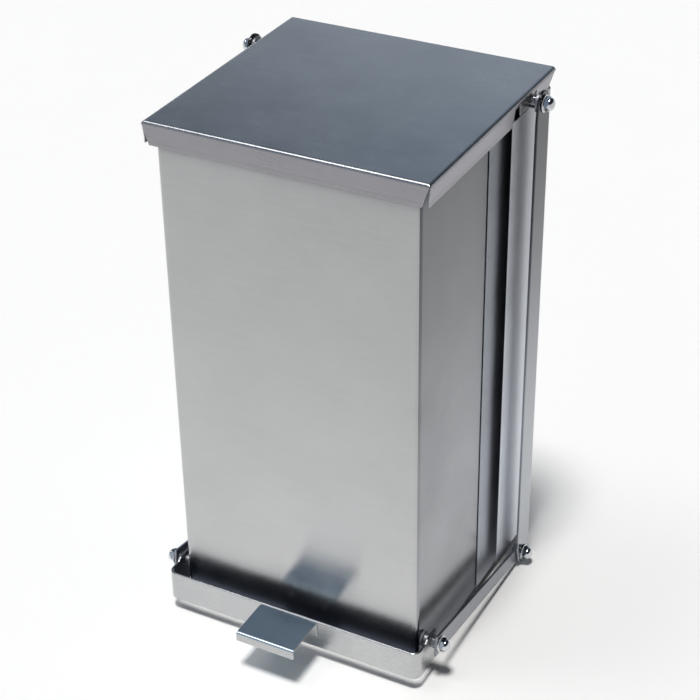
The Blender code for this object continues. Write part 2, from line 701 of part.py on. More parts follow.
def make_body(steel):
    path = [
        (-BODY_HALF, FRONT_SHELL_BACK),
        (-BODY_HALF, BODY_FRONT),
        (BODY_HALF, BODY_FRONT),
        (BODY_HALF, FRONT_SHELL_BACK),
    ]
    bm = bmesh.new()
    add_sweep(bm, bend(path, BODY_CORNER), shell_section(BODY_SHEET, BODY_TOP))
    shell = make_object("body_front_shell", bm, steel)
    tools = bmesh.new()
    bore = SHAFT_BORE + BUSHING_WALL + GAP
    for side in (-1, 1):
        stations = [(side * (BODY_HALF + way * CUT_PAST), bore, "round") for way in (-1, 1)]
        add_turned(tools, (PIVOT_Y, PIVOT_Z), stations)
    cut(shell, tools)

    path = [
        (REAR_SHELL_HALF, REAR_SHELL_FRONT),
        (REAR_SHELL_HALF, BODY_BACK),
        (-REAR_SHELL_HALF, BODY_BACK),
        (-REAR_SHELL_HALF, REAR_SHELL_FRONT),
    ]
    bm = bmesh.new()
    add_sweep(bm, bend(path, BODY_CORNER), shell_section(BODY_SHEET, BODY_TOP))
    shell = make_object("body_rear_shell", bm, steel)
    # The folded edge stops short of the lap
    tools = bmesh.new()
    for side in (-1, 1):
        xs = sorted((side * (BODY_HALF - CUT_PAST), side * (BODY_HALF + GAP)))
        low = (xs[0], REAR_SHELL_FRONT - CUT_PAST, BODY_TOP - BODY_HEM_HEIGHT - CUT_PAST)
        high = (xs[1], FRONT_SHELL_BACK + GAP, BODY_TOP + CUT_PAST)
        add_box(tools, low, high)
    cut(shell, tools)


def make_base(steel, zinc):
    """The floor pan that carries the pail, and the angle frame under it."""
    bm = bmesh.new()
    bends = (90, 45, 0)
    loops = []
    for degrees in bends:
        inset = PAN_BEND * (1 - math.cos(math.radians(degrees)))
        drop = PAN_BEND * (1 - math.sin(math.radians(degrees)))
        half = INNER_HALF - inset
        loops.append(rounded_loop(half, INNER_FRONT + inset, INNER_BACK - inset, INNER_CORNER, PAN_TOP - drop))
    bottom = PAN_TOP - PAN_FLANGE
    inner_corner = INNER_CORNER - PAN_SHEET
    loops.append(rounded_loop(INNER_HALF, INNER_FRONT, INNER_BACK, INNER_CORNER, bottom))
    half = INNER_HALF - PAN_SHEET
    for z in (bottom, PAN_TOP - PAN_SHEET):
        loops.append(rounded_loop(half, INNER_FRONT + PAN_SHEET, INNER_BACK - PAN_SHEET, inner_corner, z))
    add_loops(bm, loops)
    make_object("floor_pan", bm, steel)

    leg_top = BODY_BOTTOM + FRAME_LEG
    flange_top = BODY_BOTTOM + FRAME_SHEET
    loops = []
    for inset, corner, z in (
        (0, INNER_CORNER, BODY_BOTTOM),
        (0, INNER_CORNER, leg_top),
        (FRAME_SHEET, INNER_CORNER - FRAME_SHEET, leg_top),
        (FRAME_SHEET, INNER_CORNER - FRAME_SHEET, flange_top),
        (FRAME_FLANGE, FRAME_INNER_CORNER, flange_top),
        (FRAME_FLANGE, FRAME_INNER_CORNER, BODY_BOTTOM),
    ):
        loops.append(rounded_loop(INNER_HALF - inset, INNER_FRONT + inset, INNER_BACK - inset, corner, z))
    bm = bmesh.new()
    add_loops(bm, loops, ring=True)
    frame = make_object("base_frame", bm, zinc)
    tools = bmesh.new()
    for x, y in foot_places().values():
        stations = [(z, FOOT_STEM + GAP, "round") for z in (BODY_BOTTOM - CUT_PAST, flange_top + CUT_PAST)]
        add_turned(tools, (x, y), stations, "Z", RIVET_SIDES)
    cut(frame, tools)


def foot_places():
    places = {}
    for row, y in (("front", INNER_FRONT + FOOT_INSET), ("back", INNER_BACK - FOOT_INSET)):
        for side in (-1, 1):
            places[row + "_" + side_name(side)] = (side * (INNER_HALF - FOOT_INSET), y)
    return places


def make_feet(rubber):
    """Four feet, each with a stem through the frame and a barb above it."""
    barb = BODY_BOTTOM + FRAME_SHEET + GAP
    profile = [
        (0, FOOT_RADIUS_LOW - FOOT_EDGE, "round"),
        (FOOT_EDGE, FOOT_RADIUS_LOW, "round"),
        (FOOT_HEIGHT, FOOT_RADIUS_HIGH, "round"),
        (FOOT_HEIGHT, FOOT_STEM, "round"),
        (barb, FOOT_STEM, "round"),
        (barb, FOOT_BARB, "round"),
        (barb + FOOT_BARB_HEIGHT, FOOT_STEM / 2, "round"),
    ]
    for name, centre in foot_places().items():
        bm = bmesh.new()
        add_turned(bm, centre, profile, "Z")
        make_object("foot_" + name, bm, rubber)


def make_channel(steel, zinc):
    """The open channel over the body's back corners, and its two spacer bars."""
    path = [
        (CHANNEL_HALF, CHANNEL_FRONT),
        (CHANNEL_HALF, CHANNEL_BACK),
        (-CHANNEL_HALF, CHANNEL_BACK),
        (-CHANNEL_HALF, CHANNEL_FRONT),
    ]
    section = [
        (0, CHANNEL_BOTTOM),
        (0, CHANNEL_TOP),
        (CHANNEL_SHEET, CHANNEL_TOP),
        (CHANNEL_SHEET, CHANNEL_BOTTOM),
    ]
    bm = bmesh.new()
    add_sweep(bm, bend(path, CHANNEL_CORNER), section)
    channel = make_object("rear_channel", bm, steel)
    tools = bmesh.new()
    past = CUT_PAST
    chamfer = [
        (CHANNEL_BACK - CHANNEL_CHAMFER - past, CHANNEL_BOTTOM - past),
        (CHANNEL_BACK + past, CHANNEL_BOTTOM - past),
        (CHANNEL_BACK + past, CHANNEL_BOTTOM + CHANNEL_CHAMFER + past),
    ]
    add_prism(tools, "X", chamfer, -CHANNEL_HALF - past, CHANNEL_HALF + past)
    add_hinge_bores(tools, CHANNEL_BACK + past)
    cut(channel, tools)

    near = BODY_BACK + GAP + BAR_SHEET
    far = CHANNEL_BACK - CHANNEL_SHEET - GAP
    levels = {"lower": CHANNEL_BOTTOM + BAR_FROM_END["lower"], "upper": CHANNEL_TOP - BAR_FROM_END["upper"]}
    for name, level in levels.items():
        line = [
            (near, level - BAR_HEIGHT / 2),
            (near, level - BAR_WEB / 2),
            (far, level - BAR_WEB / 2),
            (far, level + BAR_WEB / 2),
            (near, level + BAR_WEB / 2),
            (near, level + BAR_HEIGHT / 2),
        ]
        bm = bmesh.new()
        add_prism(bm, "X", band(line, BAR_SHEET), -BAR_LENGTH / 2, BAR_LENGTH / 2)
        make_object("spacer_bar_" + name, bm, zinc)


def make_lever_arm(side, steel, axis):
    """A flat bar from the cross shaft back to the link bolt."""
    ahead = PIVOT_Y - ARM_AHEAD
    along = Vector((LINK_Y - PIVOT_Y, LINK_Z - PIVOT_Z)).normalized()
    up = Vector((-along.y, along.x))
    pivot = Vector((PIVOT_Y, PIVOT_Z))
    link = Vector((LINK_Y, LINK_Z))
    front = pivot - along * (PIVOT_Y - ahead)
    half_back = ARM_HEIGHT_BACK / 2
    tilt = math.degrees(math.atan2(along.y, along.x))
    tail = arc(link + along * (ARM_BEHIND - half_back), half_back, tilt + 90, -180, STRAP_END_STEPS)
    outline = [tuple(front - up * ARM_HEIGHT_FRONT / 2), tuple(front + up * ARM_HEIGHT_FRONT / 2)] + tail
    bm = bmesh.new()
    add_prism(bm, "X", outline, side * ARM_INNER, side * ARM_OUTER)
    arm = make_object("lever_arm_" + side_name(side), bm, steel, axis)
    tools = bmesh.new()
    for centre in ((PIVOT_Y, PIVOT_Z), (LINK_Y, LINK_Z)):
        stations = [(side * x, BOLT_BORE, "round") for x in (ARM_INNER - CUT_PAST, ARM_OUTER + CUT_PAST)]
        add_turned(tools, centre, stations)
    cut(arm, tools)


def make_yoke(steel, axis):
    """The flat bar bent round the front of the body, with raised ears on the cross shaft."""
    corners = [
        (-YOKE_OUTER, YOKE_END),
        (-YOKE_OUTER, YOKE_FRONT),
        (YOKE_OUTER, YOKE_FRONT),
        (YOKE_OUTER, YOKE_END),
    ]
    path = bend(corners, YOKE_CORNER)
    ear = PIVOT_Y - EAR_AHEAD_OF_PIVOT
    ramp = ear - EAR_RAMP
    ears = [(-YOKE_OUTER, ear), (-YOKE_OUTER, ramp)]
    path = path[:1] + ears + path[1:-1] + [(-x, y) for x, y in reversed(ears)] + path[-1:]

    def section(station):
        _, y = path[station]
        top = EAR_TOP if y >= ear else YOKE_TOP
        return [(0, YOKE_BOTTOM), (0, top), (FLAT_BAR, top), (FLAT_BAR, YOKE_BOTTOM)]

    bm = bmesh.new()
    add_sweep(bm, path, section)
    yoke = make_object("pedal_yoke", bm, steel, axis)
    tools = bmesh.new()
    past_leg = (YOKE_OUTER - FLAT_BAR - CUT_PAST, YOKE_OUTER + CUT_PAST)
    for side in (-1, 1):
        stations = [(side * x, SHAFT_BORE, "round") for x in past_leg]
        add_turned(tools, (PIVOT_Y, PIVOT_Z), stations)
    add_pedal_bores(tools)
    cut(yoke, tools)


def pedal_rivet_places():
    return [(x, YOKE_TOP - PEDAL_RIVET_DROP) for x in (-PEDAL_RIVET_X, PEDAL_RIVET_X)]


def add_pedal_bores(bm):
    near = YOKE_FRONT - PEDAL_SHEET - CUT_PAST
    far = YOKE_FRONT + FLAT_BAR + CUT_PAST
    for centre in pedal_rivet_places():
        stations = [(y, PEDAL_RIVET_RADIUS + GAP, "round") for y in (near, far)]
        add_turned(bm, centre, stations, "Y", RIVET_SIDES)


def make_pedal(steel, zinc, axis):
    """The tread plate: lip at the front, flange at the back riveted to the yoke."""
    front = PEDAL_FRONT
    back = YOKE_FRONT - GAP
    corners = [
        (front, YOKE_TOP - PEDAL_LIP),
        (front, YOKE_TOP),
        (back, YOKE_TOP),
        (back, YOKE_TOP - PEDAL_FLANGE),
    ]
    line = bend(corners, PEDAL_BEND)
    bm = bmesh.new()
    add_prism(bm, "X", band(line, -PEDAL_SHEET), -PEDAL_WIDTH / 2, PEDAL_WIDTH / 2)
    plate = make_object("pedal_plate", bm, steel, axis)
    tools = bmesh.new()
    add_pedal_bores(tools)
    cut(plate, tools)

    for centre in pedal_rivet_places():
        bm = bmesh.new()
        head = back - PEDAL_SHEET
        add_rivet(bm, centre, head, YOKE_FRONT + FLAT_BAR, "Y", PEDAL_RIVET_RADIUS, PEDAL_RIVET_HEAD)
        make_object("pedal_rivet_" + side_name(centre[0]), bm, zinc, axis)


def make_shaft(zinc, chrome, axis):
    """The cross shaft, and what clamps the yoke's legs and the arms to it on each side."""
    centre = (PIVOT_Y, PIVOT_Z)
    nut = ARM_OUTER + GAP
    end = nut + CAP_NUT_BORE_DEPTH - GAP
    bm = bmesh.new()
    add_turned(bm, centre, [(x, SHAFT_RADIUS, "round") for x in (-end, end)])
    make_object("pivot_shaft", bm, zinc, axis)
    spacer = BODY_HALF + GAP + BUSHING_FLANGE_LENGTH + GAP
    leg = YOKE_OUTER - FLAT_BAR
    jam = YOKE_OUTER + GAP
    arm = ARM_INNER - GAP
    for side in (-1, 1):
        make_ring("pivot_spacer", centre, side, spacer, leg - GAP, SPACER_RADIUS, zinc, axis, SHAFT_BORE)
        make_ring("pivot_jam_nut", centre, side, jam, arm, JAM_NUT_ACROSS, zinc, axis, SHAFT_BORE, "hex")
        make_cap_nut("pivot_cap_nut", centre, side, nut, SHAFT_BORE, chrome, axis)


def make_bushing(side, nylon):
    """A flanged bush in the body wall that the cross shaft turns in."""
    barrel = SHAFT_BORE + BUSHING_WALL
    inside = BODY_HALF - BODY_SHEET - BUSHING_INSIDE
    flange = BODY_HALF + GAP
    outside = flange + BUSHING_FLANGE_LENGTH
    profile = (
        (inside, barrel),
        (flange, barrel),
        (flange, BUSHING_FLANGE),
        (outside, BUSHING_FLANGE),
        (outside, SHAFT_BORE),
        (inside, SHAFT_BORE),
    )
    bm = bmesh.new()
    add_turned(bm, (PIVOT_Y, PIVOT_Z), [(side * x, radius, "round") for x, radius in profile], ring=True)
    make_object("pivot_bushing_" + side_name(side), bm, nylon)


def make_link_hardware(side, zinc, chrome, axis):
    """The bolt that joins a lever arm's back end to its strap."""
    centre = (LINK_Y, LINK_Z)
    nut = STRAP_OUTER + GAP
    head = ARM_INNER - GAP
    profile = (
        (head - LINK_HEAD_LENGTH, BOLT_HEAD_ACROSS, "hex"),
        (head, BOLT_HEAD_ACROSS, "hex"),
        (head, BOLT_RADIUS, "round"),
        (nut + CAP_NUT_BORE_DEPTH - GAP, BOLT_RADIUS, "round"),
    )
    bm = bmesh.new()
    add_turned(bm, centre, [(side * x, size, shape) for x, size, shape in profile])
    make_object("link_bolt_" + side_name(side), bm, zinc, axis)
    make_cap_nut("link_cap_nut", centre, side, nut, BOLT_BORE, chrome, axis)


def make_strap(side, steel, axis):
    """The upright flat bar from the link bolt to the lid pin."""
    half = STRAP_WIDTH / 2
    top = arc((LID_PIN_Y, LID_PIN_Z), half - STRAP_SHOULDER_TOP, 0, 180, STRAP_END_STEPS)
    low = arc((LINK_Y, LINK_Z), half - STRAP_SHOULDER_LOW, 180, 180, STRAP_END_STEPS)
    full_top = LID_PIN_Z - STRAP_TAPER_TOP
    full_low = LINK_Z + STRAP_TAPER_LOW
    outline = [(LINK_Y + half, full_top)] + top + [(LINK_Y - half, full_top), (LINK_Y - half, full_low)]
    outline += low + [(LINK_Y + half, full_low)]
    bm = bmesh.new()
    add_prism(bm, "X", outline, side * STRAP_INNER, side * STRAP_OUTER)
    strap = make_object("lift_strap_" + side_name(side), bm, steel, axis)

    # The oval hole at the lid pin, and the round one at the link bolt
    tools = bmesh.new()
    pin = Vector((LID_PIN_Y, LID_PIN_Z))
    drift = Vector((-SLOT_DRIFT_FRONT, SLOT_DRIFT_UP))
    tilt = math.degrees(math.atan2(drift.y, drift.x))
    steps = ROUND_SIDES // 2
    oval = arc(pin + drift, SLOT_RADIUS, tilt - 90, 180, steps) + arc(pin, SLOT_RADIUS, tilt + 90, 180, steps)
    add_prism(tools, "X", oval, side * (STRAP_INNER - CUT_PAST), side * (STRAP_OUTER + CUT_PAST))
    stations = [(side * x, BOLT_BORE, "round") for x in (STRAP_INNER - CUT_PAST, STRAP_OUTER + CUT_PAST)]
    add_turned(tools, (LINK_Y, LINK_Z), stations)
    cut(strap, tools)


def make_bumper(side, rubber):
    """A rubber clip over the front wall's top edge that the lid comes down on."""
    inner = BODY_FRONT + BODY_HEM_THICKNESS + GAP
    outer = BODY_FRONT - GAP
    top = LID_UNDERSIDE - GAP
    seat = BODY_TOP + GAP
    bottom = BODY_TOP - BUMPER_DROP
    outline = [
        (outer - BUMPER_LEG, bottom),
        (outer - BUMPER_LEG, top - BUMPER_CHAMFER),
        (outer - BUMPER_LEG + BUMPER_CHAMFER, top),
        (inner + BUMPER_LEG - BUMPER_CHAMFER, top),
        (inner + BUMPER_LEG, top - BUMPER_CHAMFER),
        (inner + BUMPER_LEG, bottom),
        (inner, bottom),
        (inner, seat),
        (outer, seat),
        (outer, bottom),
    ]
    bm = bmesh.new()
    start = side * BUMPER_X
    add_prism(bm, "X", outline, start - BUMPER_LENGTH / 2, start + BUMPER_LENGTH / 2)
    make_object("lid_bumper_" + side_name(side), bm, rubber)


def pail_loop(inset, z, corner=PAIL_CORNER):
    """A level loop round the pail, inset from its outer face at the rim."""
    return rounded_loop(
        PAIL_HALF_X - inset,
        PAIL_CENTRE_Y - PAIL_HALF_Y + inset,
        PAIL_CENTRE_Y + PAIL_HALF_Y - inset,
        corner - inset,
        z,
        PAIL_CORNER_STEPS,
    )


def pail_lean(z):
    """How far the tapered wall stands in from the rim at a level."""
    return PAIL_TAPER * (RIM_CENTRE_Z - z) / (RIM_CENTRE_Z - PAIL_BOTTOM)


def make_pail(galvanised, wire, axis):
    loops = [pail_loop(PAIL_TAPER + PAIL_BEND, PAIL_BOTTOM + PAIL_SHEET)]
    knee = PAIL_BOTTOM + PAIL_BEND
    loops.append(pail_loop(pail_lean(knee) + PAIL_SHEET, knee))
    centre = -RIM_CURL_INNER        # the rim wire runs outside the wall
    for degrees in RIM_CURL_ANGLES:
        angle = math.radians(degrees)
        inset = centre - RIM_CURL_OUTER * math.cos(angle)
        loops.append(pail_loop(inset, RIM_CENTRE_Z + RIM_CURL_OUTER * math.sin(angle)))
    for degrees in reversed(RIM_CURL_ANGLES):
        angle = math.radians(degrees)
        inset = centre - RIM_CURL_INNER * math.cos(angle)
        loops.append(pail_loop(inset, RIM_CENTRE_Z + RIM_CURL_INNER * math.sin(angle)))
    loops.append(pail_loop(pail_lean(knee), knee))
    loops.append(pail_loop(PAIL_TAPER + PAIL_BEND, PAIL_BOTTOM))
    bm = bmesh.new()
    add_loops(bm, loops)
    pail = make_object("inner_pail", bm, galvanised, axis)
    tools = bmesh.new()
    wall = PAIL_HALF_X - pail_lean(EAR_RIVET_Z)
    for side in (-1, 1):
        stations = [(side * x, RIVET_RADIUS + GAP, "round") for x in (wall - CUT_PAST, wall + CUT_PAST)]
        add_turned(tools, (PAIL_CENTRE_Y, EAR_RIVET_Z), stations, sides=RIVET_SIDES)
    cut(pail, tools)

    bm = bmesh.new()
    loops = []
    for i in range(WIRE_SIDES):
        angle = math.tau * i / WIRE_SIDES
        loops.append(pail_loop(centre - RIM_WIRE * math.cos(angle), RIM_CENTRE_Z + RIM_WIRE * math.sin(angle)))
    add_loops(bm, loops, ring=True)
    make_object("pail_rim_wire", bm, wire, axis)


def ear_outer():
    return PAIL_HALF_X - PAIL_SHEET - pail_lean(EAR_BOTTOM) - GAP


def make_ear(side, zinc, axis):
    """A plate inside the pail's side, standing above the rim to carry the bail, and its rivet."""
    outer = ear_outer()
    half = EAR_WIDTH / 2
    outline = [
        (PAIL_CENTRE_Y - half, EAR_BOTTOM + EAR_CORNER),
        (PAIL_CENTRE_Y - half + EAR_CORNER, EAR_BOTTOM),
        (PAIL_CENTRE_Y + half - EAR_CORNER, EAR_BOTTOM),
        (PAIL_CENTRE_Y + half, EAR_BOTTOM + EAR_CORNER),
        (PAIL_CENTRE_Y + half, PAIL_RIM),
        (PAIL_CENTRE_Y + half / 2, EAR_PLATE_TOP),
        (PAIL_CENTRE_Y - half / 2, EAR_PLATE_TOP),
        (PAIL_CENTRE_Y - half, PAIL_RIM),
    ]
    bm = bmesh.new()
    add_prism(bm, "X", outline, side * (outer - EAR_SHEET), side * outer)
    ear = make_object("pail_ear_" + side_name(side), bm, zinc, axis)
    tools = bmesh.new()
    for z, radius in ((EAR_RIVET_Z, RIVET_RADIUS), (BAIL_Z, BAIL_WIRE)):
        stations = [(side * x, radius + GAP, "round") for x in (outer - CUT_PAST, outer + CUT_PAST)]
        add_turned(tools, (PAIL_CENTRE_Y, z), stations, sides=RIVET_SIDES)
    cut(ear, tools)

    bm = bmesh.new()
    tail = side * (PAIL_HALF_X - pail_lean(EAR_RIVET_Z) + GAP)
    add_rivet(bm, (PAIL_CENTRE_Y, EAR_RIVET_Z), side * (outer - EAR_SHEET), tail)
    make_object("pail_ear_rivet_" + side_name(side), bm, zinc, axis)


def make_bail(wire, axis):
    """The wire handle, folded forward so that it rests on the front of the rim."""
    arm = ear_outer() - EAR_SHEET - GAP - BAIL_WIRE
    hook = PAIL_HALF_X + RIM_CURL_OUTER
    rest = PAIL_CENTRE_Y - PAIL_HALF_Y - RIM_CURL_INNER
    joint = rest + BAIL_CORNER * 2
    short = bend([(-hook, PAIL_CENTRE_Y), (-arm, PAIL_CENTRE_Y), (-arm, joint)], BAIL_HOOK_BEND)
    front = bend([(-arm, joint), (-arm, rest), (0, rest)], BAIL_CORNER)
    left = short[:-1] + front[1:-1]
    path = left + [(-x, y) for x, y in reversed(left)]
    section = []
    for i in range(WIRE_SIDES):
        angle = math.tau * i / WIRE_SIDES
        section.append((BAIL_WIRE * math.cos(angle), BAIL_Z + BAIL_WIRE * math.sin(angle)))
    bm = bmesh.new()
    add_sweep(bm, path, section)
    make_object("pail_bail", bm, wire, axis)


def make_receptacle():
    for thing in list(bpy.data.objects):
        bpy.data.objects.remove(thing)

    steel = make_finish("brushed_steel", (0.60, 0.61, 0.62), 0.34, 1.0)
    chrome = make_finish("chrome", (0.78, 0.79, 0.80), 0.12, 1.0)
    zinc = make_finish("dark_zinc", (0.30, 0.31, 0.32), 0.45, 1.0)
    galvanised = make_finish("galvanised_steel", (0.50, 0.52, 0.53), 0.50, 1.0)
    rubber = make_finish("black_rubber", (0.03, 0.03, 0.03), 0.80, 0.0)
    nylon = make_finish("grey_nylon", (0.16, 0.16, 0.17), 0.55, 0.0)

    lid_axis = make_axis("lid_axis", HINGE_Y, HINGE_Z)
    lever_axis = make_axis("lever_axis", PIVOT_Y, PIVOT_Z)
    pail_axis = make_axis("pail_axis", PAIL_CENTRE_Y, PAIL_BOTTOM)
    bail_axis = make_axis("bail_axis", PAIL_CENTRE_Y, BAIL_Z)

    make_body(steel)
    make_base(steel, zinc)
    make_feet(rubber)
    make_channel(steel, zinc)
    make_hinge(steel, zinc, lid_axis)
    make_lid(steel, lid_axis)
    make_yoke(steel, lever_axis)
    make_pedal(steel, zinc, lever_axis)
    make_shaft(zinc, chrome, lever_axis)
    make_pail(galvanised, zinc, pail_axis)
    make_bail(zinc, bail_axis)
    for side in (-1, 1):
        make_lid_hardware(side, zinc, chrome, lid_axis)
        make_link_hardware(side, zinc, chrome, lever_axis)
        make_lever_arm(side, steel, lever_axis)
        make_bushing(side, nylon)
        make_bumper(side, rubber)
        make_ear(side, zinc, pail_axis)
        strap_axis = make_axis("strap_axis_" + side_name(side), LINK_Y, LINK_Z, side * STRAP_INNER)
        make_strap(side, steel, strap_axis)


make_receptacle()
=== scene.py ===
import json
import math

import bmesh
import bpy
from mathutils import Matrix, Vector

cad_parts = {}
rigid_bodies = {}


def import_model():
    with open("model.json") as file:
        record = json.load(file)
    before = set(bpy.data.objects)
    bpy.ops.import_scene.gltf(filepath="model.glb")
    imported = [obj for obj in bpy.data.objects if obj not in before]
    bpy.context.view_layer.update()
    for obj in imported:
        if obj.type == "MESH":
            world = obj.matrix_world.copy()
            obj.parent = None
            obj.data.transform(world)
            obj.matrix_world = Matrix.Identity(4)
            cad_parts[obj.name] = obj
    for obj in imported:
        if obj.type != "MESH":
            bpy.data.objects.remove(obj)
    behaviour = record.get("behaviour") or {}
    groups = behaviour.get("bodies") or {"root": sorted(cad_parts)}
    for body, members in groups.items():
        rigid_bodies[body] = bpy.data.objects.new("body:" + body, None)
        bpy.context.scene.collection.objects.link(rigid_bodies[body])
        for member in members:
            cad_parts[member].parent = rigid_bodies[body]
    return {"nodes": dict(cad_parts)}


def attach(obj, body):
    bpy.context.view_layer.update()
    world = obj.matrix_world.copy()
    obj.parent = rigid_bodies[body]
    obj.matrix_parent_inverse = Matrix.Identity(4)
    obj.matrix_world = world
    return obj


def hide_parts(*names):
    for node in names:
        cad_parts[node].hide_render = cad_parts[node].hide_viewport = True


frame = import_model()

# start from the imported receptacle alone
for thing in list(bpy.data.objects):
    if thing.type in {"CAMERA", "LIGHT"} or (thing.type == "MESH" and thing.name not in frame["nodes"]):
        bpy.data.objects.remove(thing)
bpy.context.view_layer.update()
print("receptacle loaded:", len(frame["nodes"]), "solids")

mm = 0.001          # all lengths of the pieces are in millimetres
gap = 0.3           # between pieces that touch
past = 5            # how far a cutter reaches beyond what it cuts

# the level axes that pieces turn on or are bolted at, each (y, z)
axes = {
    "hinge": (187.8, 626.3),
    "lidPin": (131.5, 617.5),
    "link": (131.5, 16.0),
    "pivot": (-99.5, 47.0),
    "bail": (30.5, 587.5),
}
sides = {"left": -1, "right": 1}


# a socket that can be used in plain sums
class Wire:
    def __init__(self, paint, socket):
        self.paint = paint
        self.socket = socket

    def sum(self, operation, first, second):
        return self.paint.node("ShaderNodeMath", {"operation": operation}, {0: first, 1: second})

    def __add__(self, other):
        return self.sum("ADD", self, other)

    def __radd__(self, other):
        return self.sum("ADD", other, self)

    def __sub__(self, other):
        return self.sum("SUBTRACT", self, other)

    def __rsub__(self, other):
        return self.sum("SUBTRACT", other, self)

    def __mul__(self, other):
        return self.sum("MULTIPLY", self, other)

    def __pow__(self, other):
        return self.sum("POWER", self, other)


# the node tree of one material, or of the room
class Paint:
    def __init__(self, owner):
        owner.use_nodes = True
        self.owner = owner
        self.tree = owner.node_tree

    def node(self, kind, settings=None, inputs=None, output=0):
        made = self.tree.nodes.new(kind)
        for key, value in (settings or {}).items():
            if key == "stops":
                self.setStops(made.color_ramp, value)
            else:
                setattr(made, key, value)
        for key, value in (inputs or {}).items():
            self.feed(made.inputs[key], value)
        return Wire(self, made.outputs[output])

    def feed(self, socket, value):
        if isinstance(value, Wire):
            self.tree.links.new(value.socket, socket)
        else:
            socket.default_value = value

    def setStops(self, ramp, stops):
        ramp.interpolation = "B_SPLINE"
        while len(ramp.elements) < len(stops):
            ramp.elements.new(0.5)
        for element, (place, colour) in zip(ramp.elements, stops):
            element.position = place
            element.color = (*colour, 1)

    # how far a point is along X, Y or Z, which are 0, 1 and 2
    def along(self, number, space="Object"):
        place = self.node("ShaderNodeTexCoord", output=space)
        return self.node("ShaderNodeSeparateXYZ", None, {0: place}, number)

    # how nearly the room's point lies in a direction
    def facing(self, way):
        place = self.node("ShaderNodeTexCoord", output="Generated")
        return self.node("ShaderNodeVectorMath", {"operation": "DOT_PRODUCT"}, {0: place, 1: way}, 1)

    def stretched(self, scale):
        place = self.node("ShaderNodeTexCoord", output="Object")
        return self.node("ShaderNodeVectorMath", {"operation": "MULTIPLY"}, {0: place, 1: scale})

    def noise(self, scale, detail, rough):
        return self.node("ShaderNodeTexNoise", None, {
            "Vector": self.stretched(scale), "Scale": 1.0, "Detail": detail, "Roughness": rough}, "Fac")

    # the same noise all ways, from a pattern of scale, detail and roughness
    def even(self, pattern):
        scale, detail, rough = pattern
        return self.noise((scale,) * 3, detail, rough)

    def steps(self, value, low, high, fromLow=0.0, fromHigh=1.0):
        return self.node("ShaderNodeMapRange", {"interpolation_type": "SMOOTHSTEP"}, {
            0: value, 1: fromLow, 2: fromHigh, 3: low, 4: high})

    def blend(self, amount, first, second):
        return self.node("ShaderNodeMix", {"data_type": "RGBA"}, {
            0: amount, 6: first, 7: second}, 2)

    # a colour made lighter or darker by a value
    def tint(self, colour, shade):
        vector = self.node("ShaderNodeCombineXYZ", None, {0: shade, 1: shade, 2: shade})
        return self.node("ShaderNodeVectorMath", {"operation": "MULTIPLY"}, {0: colour, 1: vector})

    def bump(self, height, distance, strength=1.0, normal=None):
        inputs = {"Height": height, "Distance": distance, "Strength": strength}
        if normal:
            inputs["Normal"] = normal
        return self.node("ShaderNodeBump", None, inputs)

    # 0 on flat sheet, rising to 1 at an edge
    def rubbed(self, width):
        soft = self.node("ShaderNodeBevel", {"samples": 4}, {"Radius": width})
        plain = self.node("ShaderNodeNewGeometry", output="Normal")
        match = self.node("ShaderNodeVectorMath", {"operation": "DOT_PRODUCT"}, {0: soft, 1: plain}, 1)
        return self.steps(match, 1.0, 0.0, 0.80, 0.99)

    def finish(self, values):
        shader = self.tree.nodes["Principled BSDF"]
        for name, value in values.items():
            if isinstance(value, tuple):
                value = (*value, 1.0)
            self.feed(shader.inputs[name], value)
        return self.owner


def startPaint(name):
    return Paint(bpy.data.materials.new(name))


# how many polishing marks there are per metre along X, Y and Z, for each way of the grain
grainWays = {
    "level": (4, 4, 1500),
    "across": (4, 1500, 1500),
    "upright": (1500, 1500, 4),
}

steelLook = {
    "tone": (0.515, 0.518, 0.522), "worn": (0.66, 0.665, 0.67), "nookShadeColour": (0.030, 0.040, 0.065),
    # marks across and along the grain against the main lines', then detail and roughness
    "lines": (1, 1, 2, 0.6), "short": (0.35, 6, 3, 0.6), "scratch": (0.8, 4, 1, 0.3),
    "clouds": (11, 4, 0.55), "mottle": (70, 3, 0.6), "slow": (9, 1, 0.4),
    # how far each pattern makes the tone lighter or darker
    "lineShade": 0.10, "cloudShade": 0.18, "mottleShade": 0.09, "scratchShade": 0.06,
    # how far each makes the surface rougher or smoother
    "rough": 0.17, "lineRough": 0.10, "cloudRough": 0.14, "mottleRough": 0.06, "edgeRough": 0.06,
    "scratchFrom": 0.70, "scratchTo": 0.78,
    "edge": 0.9 * mm, "edgeWear": 0.6,
    "lineDepth": 0.010 * mm, "shortDepth": 0.7,
    "waviness": 0.25 * mm,                      # slow waves of thin sheet
    "nook": 60 * mm,                            # how far a corner's painted shade reaches
    "nookFrom": 0.50, "nookTo": 0.98,
    "topShadeFrom": 80 * mm, "topShadeTo": 600 * mm,    # heights between which the painted top shade comes in, darkening the tone towards the top
    "weldDepth": 0.5 * mm,
}


# a noise drawn out along the grain, with its marks closer or further apart than the main lines
def grainNoise(paint, way, across, lengthways, detail, rough):
    scale = tuple(value * (across if value > 100 else lengthways) for value in grainWays[way])
    return paint.noise(scale, detail, rough)


